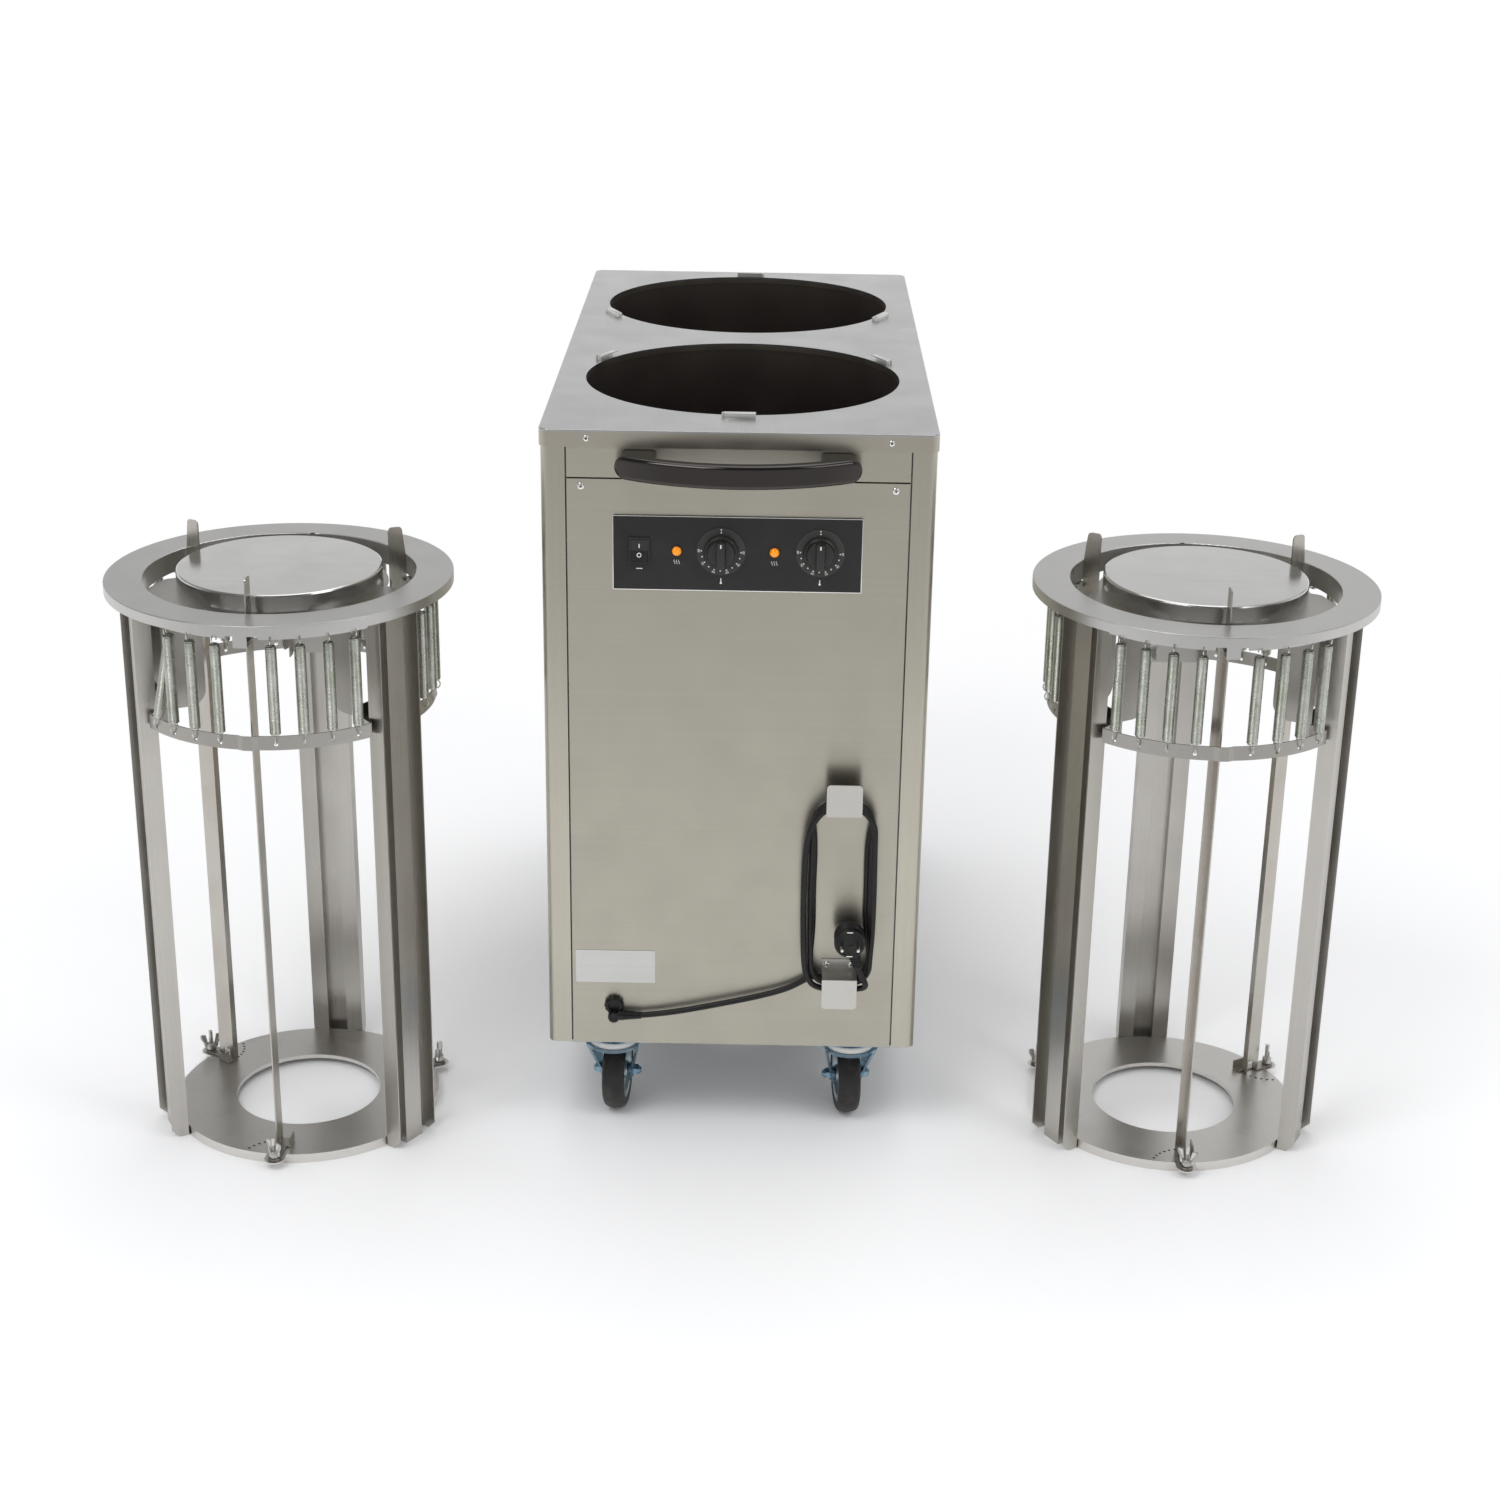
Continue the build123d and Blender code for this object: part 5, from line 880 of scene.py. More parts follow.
SLEEVE_TIP: Profile = ((4.5, 20.6), (4.3, 22.0), (3.75, 22.2), (3.75, -6.0))
PIN_HALF_PITCH = 9.5
EARTH_OUT = 15.6                 # earth contacts above and below the plug's middle


@dataclass(frozen=True)
class CordRoute:
    """Route of the mains cord, with the CAD's formula and sizes, millimetres from the cart's centre."""

    radius: float = 3.6
    turns: int = 3
    off: float = 6.0
    step: float = 7.7
    slack: float = 1.9
    crown: float = 7.7
    half: float = 37.0
    foot: float = 23.0
    knee: float = 35.0
    cut: float = 13.5
    sheet: float = 1.5
    reach: float = 30.7
    left: tuple[float, ...] = (34.0, 37.5, 45.5)
    right: tuple[float, ...] = (30.0, 34.8, 38.0)
    lead: tuple[Point, ...] = (
        (0.13, 6.2, 0.5),
        (0.28, 9.0, 1.5),
        (0.48, 9.6, 2.2),
        (0.68, 9.6, 2.4),
        (0.84, 7.4, 1.8),
    )

    def exit(self) -> Vector:
        """Where the cord leaves the gland."""
        return Vector((CART.gland_x + 11.2, -CART.face_y - 8.8, CART.gland_z - 11.0))

    def neck(self) -> tuple[Vector, Vector]:
        """Plug's neck and the way the cord leaves it."""
        place = Vector((CART.hook_x + 21.3, -CART.face_y - self.reach - 2.8, CART.low_arm_z + 20.0))
        return place, Vector((0.28, 0.06, -0.96)).normalized()

    def turn(self, index: int) -> list[Point]:
        """Points of one turn round the two hooks, with one more near each end of its lower run."""
        y = -CART.face_y - self.off - self.step * index
        mid = CART.hook_x
        left, right = mid - self.left[index], mid + self.right[index]
        low = CART.low_arm_z - self.sheet - self.radius - self.slack
        high = CART.high_arm_z + self.sheet + self.radius + self.crown
        corner = self.half * math.tan(math.radians(22.5))
        bend = high - self.half + corner
        rise = (bend - low) / 7
        back = self.step / 10
        return [
            (mid - self.foot, y, low),
            (mid - self.foot + 17.0, y, low - 0.3),
            (mid + self.foot - 17.0, y, low - 0.3),
            (mid + self.foot, y, low),
            (mid + self.knee, y - back, low + self.cut),
            (mid + self.knee + 0.6, y - 1.5 * back, low + rise * 1.15),
            (right - 0.4, y - 2 * back, low + rise * 2.2),
            (right, y - 3 * back, low + rise * 4),
            (right - 0.8, y - 4 * back, low + rise * 5.9),
            (mid + self.half, y - 5 * back, bend),
            (mid + corner, y - 5 * back, high),
            (mid - corner, y - 5 * back, high),
            (mid - self.half, y - 5 * back, bend),
            (left + 1.2, y - 6 * back, low + rise * 5.9),
            (left, y - 7 * back, low + rise * 4),
            (left + 0.8, y - 8 * back, low + rise * 2.2),
            (mid - self.knee - 0.8, y - 8.5 * back, low + rise * 1.15),
            (mid - self.knee, y - 9 * back, low + self.cut),
        ]

    def points(self) -> list[Point]:
        """Whole route, from the gland to the plug."""
        start = self.exit()
        first = Vector(self.turn(0)[0])
        run = first - start
        points: list[Point] = [tuple(start), (start.x + 3 * self.radius, start.y, start.z)]
        for share, sag, out in self.lead:
            points.append((start.x + run.x * share,
                           start.y + run.y * share - out,
                           start.z + run.z * share - sag))
        points.append((first.x - 3 * self.radius, first.y, first.z))
        for index in range(self.turns):
            points += self.turn(index)
        last = points[-3]
        y = -CART.face_y - self.off - self.step * (self.turns - 1)
        low = CART.low_arm_z - self.sheet - 3 * self.radius - self.slack - 2.0
        neck, way = self.neck()
        return points[:-2] + [
            (last[0] + 1.4, y - 4.6, low + 39),
            (CART.hook_x - self.knee - 5, y - 2.4, low + 17),
            (CART.hook_x - self.foot - 5, y, low),
            (CART.hook_x + self.foot - 4, y + 1.6, low - 0.5),
            (CART.hook_x + self.knee - 1, y - 11.5, low + 9),
            tuple(neck + way * 11),
            tuple(neck),
        ]


@dataclass(frozen=True)
class Ribs:
    """Even ribs of a turned rubber part, along its axis."""

    count: int
    pitch: float
    outer: float
    grows: float                     # each rib's radius over the one before
    deep: float
    end: float                       # from a rib's start to the end of its groove
    land: float = 1.9
    foot: float = 2.2

    def rows(self) -> list[tuple[float, float]]:
        """Profile points of all ribs, radius and height."""
        rows: list[tuple[float, float]] = []
        for rib in range(self.count):
            z = rib * self.pitch
            outer = self.outer + self.grows * rib
            inner = outer - self.deep
            rows += [(outer, z), (outer, z + self.land), (inner, z + self.foot), (inner, z + self.end)]
        return rows


@dataclass
class MainsCord:
    """Cord, its strain relief, the gland and the plug."""

    route: CordRoute = field(default_factory=CordRoute)
    sleeve_ribs: Ribs = Ribs(6, 3.4, 6.3, -0.32, 0.8, 3.1)
    boot_ribs: Ribs = Ribs(5, 3.2, 5.2, 0.42, 0.7, 2.9)
    gland_r: float = 11.6
    flute: float = 0.35
    flutes: int = 12
    lobe_drop: float = 12.0
    plug_from_hook: Point = (10.6, -13.0, 54.0)

    def flex(self) -> bpy.types.Object:
        """The cord itself, one smooth spline."""
        curve = bpy.data.curves.new("mains_cord", "CURVE")
        curve.dimensions = "3D"
        curve.bevel_depth = self.route.radius * MM
        curve.bevel_resolution = 6
        curve.resolution_u = 12
        curve.use_fill_caps = True
        spline = curve.splines.new("NURBS")
        points = self.route.points()
        spline.points.add(len(points) - 1)
        for item, point in zip(spline.points, points):
            item.co = (*(CART.place(*point).translation), 1.0)
        spline.order_u = 3
        spline.use_endpoint_u = True
        curve.materials.append(CORD_BLACK.material())
        obj = bpy.data.objects.new("mains_cord", curve)
        bpy.context.scene.collection.objects.link(obj)
        return obj

    def sleeve(self) -> bpy.types.Object:
        """Ribbed, tapered strain relief where the cord leaves the gland."""
        shape = Shape.lathe([*SLEEVE_FOOT, *self.sleeve_ribs.rows(), *SLEEVE_TIP], 32)
        turn = Matrix.Rotation(math.radians(90), 4, "Y")
        start = self.route.exit()
        return Shape().add(shape, CART.place(*start) @ turn).piece("cord_sleeve", GLAND_BLACK, 30.0)

    def gland(self) -> bpy.types.Object:
        """Fluted gland nut with its lower lobe."""
        shape = Shape()
        outline = []
        for k in range(72):
            a = 2 * math.pi * k / 72
            r = self.gland_r + self.flute * math.cos(self.flutes * a)
            outline.append((r * math.cos(a), r * math.sin(a)))
        shape.add(Shape.slab(outline, 0.0, 5.4))
        shape.add(Shape.lathe(GLAND_DOME, 48))
        shape.add(Shape.lathe(GLAND_LOBE, 40), Matrix.Translation((0, -self.lobe_drop * MM, 0)))
        shape.add(Shape.lathe([(7.0, -6.0), (7.0, 0.2)], 32))
        placed = Shape().add(shape, CART.facing(CART.gland_x, -CART.face_y, CART.gland_z))
        return placed.piece("gland_nut", GLAND_BLACK, 32.0)

    def plug(self) -> tuple[bpy.types.Object, bpy.types.Object]:
        """Moulded plug with grip ribs and boot, and its metal contacts."""
        right, out, up = self.plug_from_hook
        mid = (CART.hook_x + right, -CART.face_y + out, CART.low_arm_z + up)
        shape = Shape()
        rows = list(PLUG_BACK)
        for rib in range(6):
            z = 6.0 + rib * 2.6
            rows += [(18.4, z), (17.9, z + 0.6), (17.9, z + 1.5), (18.4, z + 2.1)]
        rows += PLUG_FACE
        shape.add(Shape.lathe(rows, 64), CART.facing(*mid))
        neck, way = self.route.neck()
        length = (neck - Vector((mid[0], neck.y, mid[2]))).length
        rings = [(3.7, -1.0), (5.0, -1.0), *self.boot_ribs.rows()]
        rings += [(7.4, 16.4), (7.5, length - 2), (0, length - 2)]
        turn = (-way).to_track_quat("Z", "Y").to_matrix().to_4x4()
        shape.add(Shape.lathe(rings, 36), CART.place(*neck) @ turn)
        body = shape.piece("plug_body", PLUG_BLACK, 30.0)
        metal = Shape()
        for side in (-PIN_HALF_PITCH, PIN_HALF_PITCH):
            metal.add(Shape.lathe(PLUG_PIN, 28), CART.facing(mid[0] + side, mid[1] - 30.0, mid[2]))
        clip = Shape.soft_box((7.4, 1.6, 2.0), 0.4, 2)
        for side in (-1, 1):
            metal.add(clip, CART.facing(mid[0], mid[1] - 29.6, mid[2] + side * EARTH_OUT))
        return body, metal.piece("plug_contacts", PIN_BRIGHT, 30.0)

    def make(self) -> None:
        """Build and register the cord and what is on it."""
        flex = self.flex()
        sleeve = self.sleeve()
        gland = self.gland()
        body, metal = self.plug()
        for piece in (flex, sleeve, gland, body, metal):
            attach(piece, "cart")
        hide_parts("cord_lead", "cord_winding")
        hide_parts("cable_gland")
        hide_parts("plug")
        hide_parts("plug_pins")
        start = CART.place(*self.route.exit()).translation


# ---------------------------------------------------------------- controls
KNOB_ROUND: Profile = ((3.05, 0.0), (19.1, 0.0), (19.5, 0.5), (19.5, 2.9), (19.1, 3.8), (18.3, 4.6),
                       (17.3, 5.3), (16.6, 5.9), (16.4, 6.6), (16.1, 9.2), (15.5, 11.0), (14.6, 11.8),
                       (13.2, 12.0), (0, 12.0))
LENS_DOME: Profile = ((4.6, 0.1), (5.5, 0.4), (5.6, 1.6), (5.2, 3.2), (4.2, 4.7), (2.6, 5.7), (1.2, 6.1),
                      (0, 6.15))
LENS_COLLAR: Profile = ((6.1, 0), (6.2, 0.3), (6.1, 1.0), (5.7, 1.3), (5.45, 1.1), (5.4, 0.1))
ROCKER_TIP = -9.0                # degrees that the rocker rests at
ROCKER_RISE = 2.5                # rocker's ends above its middle
ROCKER_HALF = 13.3


@dataclass
class Controls:
    """Knobs, dial print, lamps, switch marks and pictograms of the control panel."""

    numbers: tuple[str, ...] = ("30", "40", "50", "60", "70", "80")
    number_tall: float = 3.7
    number_r: float = 25.6
    scale_from: float = 92.0         # degrees from straight up to the first number
    scale_turn: float = 180.0
    dot_r: float = 22.6
    outer_dot_r: float = 25.8        # second dot of the off mark
    grip: Point = (11.6, 32.0, 14.0)
    grip_z: float = 12.9
    grip_thins: float = 0.16         # share of its width that the grip loses at its top
    grip_shortens: float = 0.05
    pointer: Point = (1.7, 4.2, 0.5)
    pointer_y: float = 11.8
    pointer_z: float = 19.75
    wave_x: tuple[float, ...] = (-2.6, 0.0, 2.6)
    wave_low: float = -15.5
    wave_step: float = 0.72
    wave_swing: float = 0.7
    bulb_z: float = -37.2
    stem_z: float = -34.4
    bar_z: float = -21.6
    panel_half_x: float = 142.0
    panel_half_z: float = 44.0
    panel_z: float = 755.0
    edge_wide: float = 1.0
    edge_deep: float = 2.1

    def knob_shape(self) -> Shape:
        """Round knob with a raised grip across it, drawn along +Z."""
        shape = Shape.lathe(KNOB_ROUND, 96)
        grip = Shape.soft_box(self.grip, 2.2, 5)
        half = self.grip[2] / 2
        for vert in grip.verts:
            above = max(vert.z / MM, 0.0)
            vert.x *= 1.0 - self.grip_thins * above / half
            vert.y *= 1.0 - self.grip_shortens * above / half
        shape.add(grip, Matrix.Translation((0, 0, self.grip_z * MM)))
        return shape

    def knobs(self) -> None:
        """Both knobs with their white pointers."""
        for name, x in zip(("left", "right"), CART.knob_x):
            place = CART.facing(x, -CART.control_face - CART.dial_t - 0.5, CART.row_z)
            knob = Shape().add(self.knob_shape(), place).piece(f"knob_{name}_cap", BLACK_KNOB, 32.0)
            mark = Shape.soft_box(self.pointer, 0.2, 2)
            spot = Matrix.Translation((0, self.pointer_y * MM, self.pointer_z * MM))
            line = Shape().add(mark, place @ spot)
            pointer = line.piece(f"knob_{name}_pointer", WHITE_PRINT)
            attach(knob, f"knob_{name}")
            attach(pointer, f"knob_{name}")
            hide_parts(f"knob_{name}")

    def dial(self, name: str, x: float) -> None:
        """Dots and plain numbers round one knob."""
        place = CART.facing(x, -CART.control_face - CART.dial_t, CART.row_z)
        places = []
        print_shape = Shape()
        steps = 2 * len(self.numbers) - 1
        for step in range(steps):
            turn = math.radians(self.scale_from + self.scale_turn * step / (steps - 1))
            spot = Vector((math.sin(turn), math.cos(turn), 0))
            places.append(place @ Matrix.Translation(spot * self.dot_r * MM))
            if step % 2 == 0:
                lift = Matrix.Translation(spot * self.number_r * MM + Vector((0, 0, 0.03 * MM)))
                tilt = Matrix.Rotation(math.pi - turn, 4, "Z")
                number = Shape.text(self.numbers[step // 2], self.number_tall)
                print_shape.add(number, place @ lift @ tilt)
        for out in (self.dot_r, self.outer_dot_r):
            places.append(place @ Matrix.Translation((0, out * MM, 0)))
        numbers = print_shape.piece(f"dial_{name}_numbers", WHITE_PRINT)
        dot = Shape.lathe([(0.85, 0), (0.8, 0.05), (0, 0.06)], 14)
        dots = Repeat(f"dial_{name}_dots", dot, WHITE_PRINT).piece(places)
        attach(numbers, "cart")
        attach(dots, "cart")

    def lamps(self) -> None:
        """Domed amber lenses in black collars."""
        lens = Shape()
        collar = Shape()
        for x in CART.lamp_x:
            place = CART.facing(x, -CART.control_face, CART.row_z)
            lens.add(Shape.lathe(LENS_DOME, 40), place)
            collar.add(Shape.lathe(LENS_COLLAR, 40), place)
        glass = lens.piece("lamp_lenses", AMBER, 50.0)
        rims = collar.piece("lamp_collars", BLACK_SWITCH)
        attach(glass, "cart")
        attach(rims, "cart")
        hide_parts("indicator_lamps")

    def switch_marks(self) -> None:
        """On and off marks printed on the rocker."""
        place = CART.facing(CART.switch_x, -CART.control_face, CART.row_z)
        place = place @ Matrix.Rotation(math.radians(ROCKER_TIP), 4, "X")
        slope = math.degrees(math.atan2(ROCKER_RISE, ROCKER_HALF))
        bar = Shape.soft_box((1.3, 4.6, 0.14), 0.05, 1)
        ring = Shape.lathe([(1.7, 0.0), (2.7, 0.0), (2.7, 0.07), (1.7, 0.07), (1.7, 0.0)], 36)
        marks = Shape()
        for shape, y, sign in ((bar, 5.4, 1), (ring, -5.2, -1)):
            z = ROCKER_RISE + ROCKER_RISE * abs(y) / ROCKER_HALF
            lift = Matrix.Translation((0, y * MM, (z + 0.02) * MM))
            marks.add(shape, place @ lift @ Matrix.Rotation(math.radians(sign * slope), 4, "X"))
        piece = marks.piece("switch_marks", WHITE_PRINT)
        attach(piece, "switch_rocker")

    def pictograms(self) -> None:
        """Plain signs under the controls: heat waves, a degree column and a bar."""
        place = CART.facing(0, -CART.control_face, CART.row_z)
        signs = Shape()
        for x in CART.lamp_x:
            for column in self.wave_x:
                wave = []
                for t in range(8):
                    swing = self.wave_swing * math.sin(t * 0.9)
                    wave.append(Vector((x + column + swing, self.wave_low + t * self.wave_step, 0.05)) * MM)
                signs.add(Shape.tube(wave, 0.28, 6), place)
        for x in CART.knob_x:
            bulb = Shape.lathe([(1.3, 0), (1.25, 0.1), (0, 0.12)], 20)
            stem = Shape.soft_box((1.1, 5.2, 0.16), 0.07, 1)
            signs.add(bulb, place @ Matrix.Translation((x * MM, self.bulb_z * MM, 0)))
            signs.add(stem, place @ Matrix.Translation((x * MM, self.stem_z * MM, 0)))
        signs.add(Shape.soft_box((7.0, 1.1, 0.16), 0.07, 1),
                  place @ Matrix.Translation((CART.switch_x * MM, self.bar_z * MM, 0)))
        piece = signs.piece("panel_signs", WHITE_PRINT)
        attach(piece, "cart")

    def edge(self) -> None:
        """Folded edge round the black panel, in a brighter steel than the front panel around it: a painted
        highlight along the edge.
        """
        frame_shape = Shape()
        x, z, wide = self.panel_half_x, self.panel_half_z, self.edge_wide
        level = (2 * x - wide, wide, self.edge_deep)
        upright = (wide, 2 * z - wide, self.edge_deep)
        x, z = x - wide / 2, z - wide / 2
        for across, up, size in ((0, z, level), (0, -z, level), (x, 0, upright), (-x, 0, upright)):
            frame_shape.add(Shape.soft_box(size, 0.25, 2),
                            CART.facing(across, -CART.face_y - 1.06, self.panel_z + up))
        # painted highlight: the edge gets the bright rivet steel instead of the front panel's steel
        piece = frame_shape.piece("panel_edge", RIVET_STEEL)
        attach(piece, "cart")

    def make(self) -> None:
        """Build all controls."""
        self.knobs()
        for name, x in zip(("left", "right"), CART.knob_x):
            self.dial(name, x)
        self.lamps()
        self.switch_marks()
        self.pictograms()
        self.edge()


# ---------------------------------------------------------------- fasteners and clips
RIVET_HEAD: Profile = ((3.6, 0.0), (3.5, 0.35), (3.0, 0.9), (2.1, 1.25), (1.45, 1.3), (1.25, 1.1),
                       (1.2, 0.35), (0, 0.3))
SCREW_HEAD: Profile = ((4.2, 0.0), (4.15, 0.45), (3.7, 1.05), (2.8, 1.45), (1.9, 1.58))
CLIP_OUTSIDE: Profile = ((202.5, 0.0), (202.5, 3.6), (202.1, 4.6), (201.1, 5.0), (194.5, 5.0), (194.0, 4.7))
CLIP_INSIDE: Profile = ((194.1, 4.1), (200.9, 4.0), (201.4, 3.6), (201.5, 3.0), (201.5, 0.0))
CLIP_EYE: Profile = ((2.2, 0), (2.2, 4.2), (1.9, 4.8), (1.3, 5.0), (1.1, 4.8), (1.0, 3.2), (0, 3.2))


@dataclass
class Hardware:
    """Rivets, screws, castor bolts and the deck's rim clips."""

    rivet_x: float = 171.0
    rivet_z: float = 887.0
    screw_x: float = 177.5
    screw_z: float = 831.5
    hook_screws: float = 29.4
    plate_under: float = 125.0
    bolt_x: float = 80.0
    bolt_y: float = 52.0
    clip_half: float = 18.0
    clip_round: float = 0.25
    eye_r: float = 196.2
    eye_y: float = 19.0
    clips_front: tuple[float, ...] = (30.0, 150.0, 270.0)
    clips_back: tuple[float, ...] = (90.0, 205.0, 335.0)

    def rivets(self) -> None:
        """Blind rivets on the deck's skirt, each with a black disc in its middle as the painted shade of its
        mandrel hole.
        """
        shape = Shape.lathe(RIVET_HEAD, 36)
        places = [CART.facing(x, -CART.skirt_y, self.rivet_z) for x in (-self.rivet_x, self.rivet_x)]
        piece = Repeat("deck_rivets", shape, RIVET_STEEL, 30.0).piece(places)
        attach(piece, "cart")
        # painted shade: a black disc stands in for the dark of the mandrel hole
        hole_shade_disc = Shape.lathe([(0, 0.2), (1.18, 0.2), (1.18, 0.5), (0, 0.5)], 24)
        shade = Repeat("rivet_hollows", hole_shade_disc, GLAND_BLACK, 30.0).piece(places)
        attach(shade, "cart")

    def screws(self) -> None:
        """Pan-head screws with a black cross set into each head as the painted shade of its cross recess, on
        both panels and the hooks.
        """
        head = Shape.lathe(SCREW_HEAD, 36)
        cross = []
        for k in range(4):
            a = math.pi / 2 * k
            for r, d in ((1.9, -0.24), (1.9, 0.24), (0.52, math.pi / 4)):
                cross.append((r * math.cos(a + d), r * math.sin(a + d)))
        head.add(Shape.lathe([(1.9, 1.58), (1.75, 1.42), (0, 1.4)], 36))
        across = (-self.screw_x, self.screw_x)
        places = [CART.facing(x, -CART.face_y, self.screw_z) for x in across]
        back = Matrix.Rotation(math.pi, 4, "Y")
        places += [CART.facing(x, CART.face_y, self.screw_z) @ back for x in across]
        for arm in (CART.low_arm_z, CART.high_arm_z):
            for side in (-1, 1):
                x = CART.hook_x + side * self.hook_screws / 2
                places.append(CART.facing(x, -CART.face_y - 1.5, arm + 7.0))
        # painted shade: a black cross-shaped slab through the closed head stands in for the dark of the
        # recess
        shade = Repeat("screw_recesses", Shape.slab(cross, 0.6, 1.5), GLAND_BLACK, 30.0).piece(places)
        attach(shade, "cart")
        piece = Repeat("panel_screws", head, RIVET_STEEL, 30.0).piece(places)
        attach(piece, "cart")
        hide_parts("fasteners")

    def bolts(self) -> None:
        """Hexagon bolts with washers through the castor plates."""
        hexagon = [(6.2 * math.cos(math.pi / 3 * k), 6.2 * math.sin(math.pi / 3 * k)) for k in range(6)]
        shape = Shape.slab(hexagon, -4.9, -1.2)
        shape.add(Shape.lathe([(0, -5.0), (4.9, -5.0), (5.4, -4.8)], 36))
        shape.add(Shape.lathe([(6.5, -1.2), (6.5, 0.0)], 36)).add(Shape.lathe([(4.0, -1.2), (6.5, -1.2)], 36))
        places = []
        for x in (-CART.castor_x, CART.castor_x):
            for y in (-CART.castor_y, CART.castor_y):
                for sx in (-0.5, 0.5):
                    for sy in (-0.5, 0.5):
                        spot = (x + sx * self.bolt_x, y + sy * self.bolt_y, self.plate_under)
                        places.append(CART.place(*spot))
        piece = Repeat("castor_bolts", shape, BLUE_ZINC, 30.0).piece(places)
        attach(piece, "cart")

    def clip(self) -> Shape:
        """One rim clip at angle 0: a bent strip open to the well, drawn as one folded sheet."""
        shape = Shape()
        section = CLIP_OUTSIDE + CLIP_INSIDE
        far = max(x for x, _ in section)
        high = max(z for _, z in section)
        near_end = self.clip_half - 0.4
        ends = (-self.clip_half, -near_end, near_end, self.clip_half)
        for y in ends:
            pull = self.clip_round if abs(y) == self.clip_half else 0.0
            for x, z in section:
                shape.verts.append(Vector((min(x, far - pull), y, min(z, high - pull))) * MM)
        count = len(section)
        for row in range(len(ends) - 1):
            for k in range(count):
                n = (k + 1) % count
                low, high = row * count, (row + 1) * count
                shape.faces.append((low + k, low + n, high + n, high + k))
        shape.faces.append(tuple(range(count)))
        shape.faces.append(tuple(reversed(range(3 * count, 4 * count))))
        return shape

    def clips(self) -> None:
        """All rim clips of both wells."""
        shape = Shape()
        eye = Shape.lathe(CLIP_EYE, 24)
        for y, angles in ((CART.front_well_y, self.clips_front), (CART.back_well_y, self.clips_back)):
            for angle in angles:
                turn = CART.place(0, y, 0) @ Matrix.Rotation(math.radians(angle), 4, "Z")
                up = turn @ Matrix.Translation((0, 0, CART.deck_top * MM))
                side = 1 if 90 < angle < 270 else -1
                shape.add(self.clip(), up)
                shape.add(eye, up @ Matrix.Translation((self.eye_r * MM, side * self.eye_y * MM, 0)))
        piece = shape.piece("well_clips", CLIP_STEEL, 40.0)
        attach(piece, "cart")
        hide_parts("rim_clips")

    def make(self) -> None:
        """Build all hardware."""
        self.rivets()
        self.screws()
        self.bolts()
        self.clips()


# ---------------------------------------------------------------- castors
WHEEL_HALF: Profile = ((4.1, 14.0), (9.6, 14.0), (10.6, 13.4), (11.0, 12.0), (11.2, 7.0), (12.4, 5.6),
                       (14.2, 5.2), (16.2, 5.9), (18.4, 7.2), (20.4, 7.4), (22.0, 6.6), (24.0, 5.6),
                       (26.4, 5.4), (28.4, 6.4), (30.0, 8.8), (31.0, 11.2), (32.2, 12.7), (33.8, 13.0),
                       (35.2, 12.8), (36.0, 12.2))
TYRE_HALF: Profile = ((35.9, 12.4), (36.6, 13.2), (38.0, 13.7), (40.5, 14.0), (43.0, 13.8), (45.4, 12.8),
                      (47.4, 11.0), (48.8, 8.4), (49.6, 5.0), (49.9, 1.4), (50.0, 0.5))
AXLE_END: Profile = ((5.4, 0), (5.4, 1.6), (4.6, 2.4), (4.0, 2.4), (4.0, 0.8), (3.6, 0.8), (3.6, 3.4),
                     (3.0, 4.0), (0, 4.0))
SWIVEL_SEAL: Profile = ((29.1, 108.1), (30.4, 108.3), (31.2, 110.2), (31.0, 113.8), (29.9, 115.6),
                        (29.1, 115.8))


@dataclass
class Castors:
    """Pressed wheels, rubber tyres and swivel seals."""

    trail: float = 30.0
    wheel_r: float = 50.0
    axle_out: float = 26.2           # axle's ends from the wheel's middle
    turns: tuple[tuple[str, float, float, float], ...] = (
        ("front_left", -CART.castor_x, -CART.castor_y, -5.0),
        ("front_right", CART.castor_x, -CART.castor_y, 6.0),
        ("back_left", -CART.castor_x, CART.castor_y, 184.0),
        ("back_right", CART.castor_x, CART.castor_y, 171.0),
    )

    def mirrored(self, half: Profile, segments: int) -> Shape:
        """Lathed shape whose other half is the same, about the wheel's middle."""
        other = tuple((r, -z) for r, z in reversed(half))
        return Shape.lathe(half + other + half[:1], segments)

    def make(self) -> None:
        """Build wheel, tyre, seal and axle ends of each castor."""
        disc = self.mirrored(WHEEL_HALF, 72)
        rubber = self.mirrored(TYRE_HALF, 96)
        ring = Shape.lathe(SWIVEL_SEAL, 64)
        end = Shape.lathe(AXLE_END, 28)
        across = Matrix.Rotation(math.radians(90), 4, "Y")
        for name, x, y, turn in self.turns:
            swivel = CART.place(x, y, 0) @ Matrix.Rotation(math.radians(turn), 4, "Z")
            axle = swivel @ Matrix.Translation((0, self.trail * MM, self.wheel_r * MM)) @ across
            wheel = Shape().add(disc, axle).piece(f"wheel_{name}_disc", WHEEL_ZINC, 50.0)
            tyre = Shape().add(rubber, axle).piece(f"wheel_{name}_tyre", TYRE_BLACK, 60.0)
            seal = Shape().add(ring, swivel).piece(f"swivel_{name}_seal", PALE_PLASTIC, 50.0)
            nuts = Shape()
            for side in (-1, 1):
                outwards = Matrix.Rotation(0 if side > 0 else math.pi, 4, "X")
                nuts.add(end, axle @ (Matrix.Translation((0, 0, side * self.axle_out * MM)) @ outwards))
            caps = nuts.piece(f"swivel_{name}_nuts", BLUE_ZINC, 35.0)
            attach(wheel, f"wheel_{name}")
            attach(tyre, f"wheel_{name}")
            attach(seal, f"swivel_{name}")
            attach(caps, f"swivel_{name}")
            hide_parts(f"castor_wheel_{name}")
            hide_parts(f"castor_tyre_{name}")


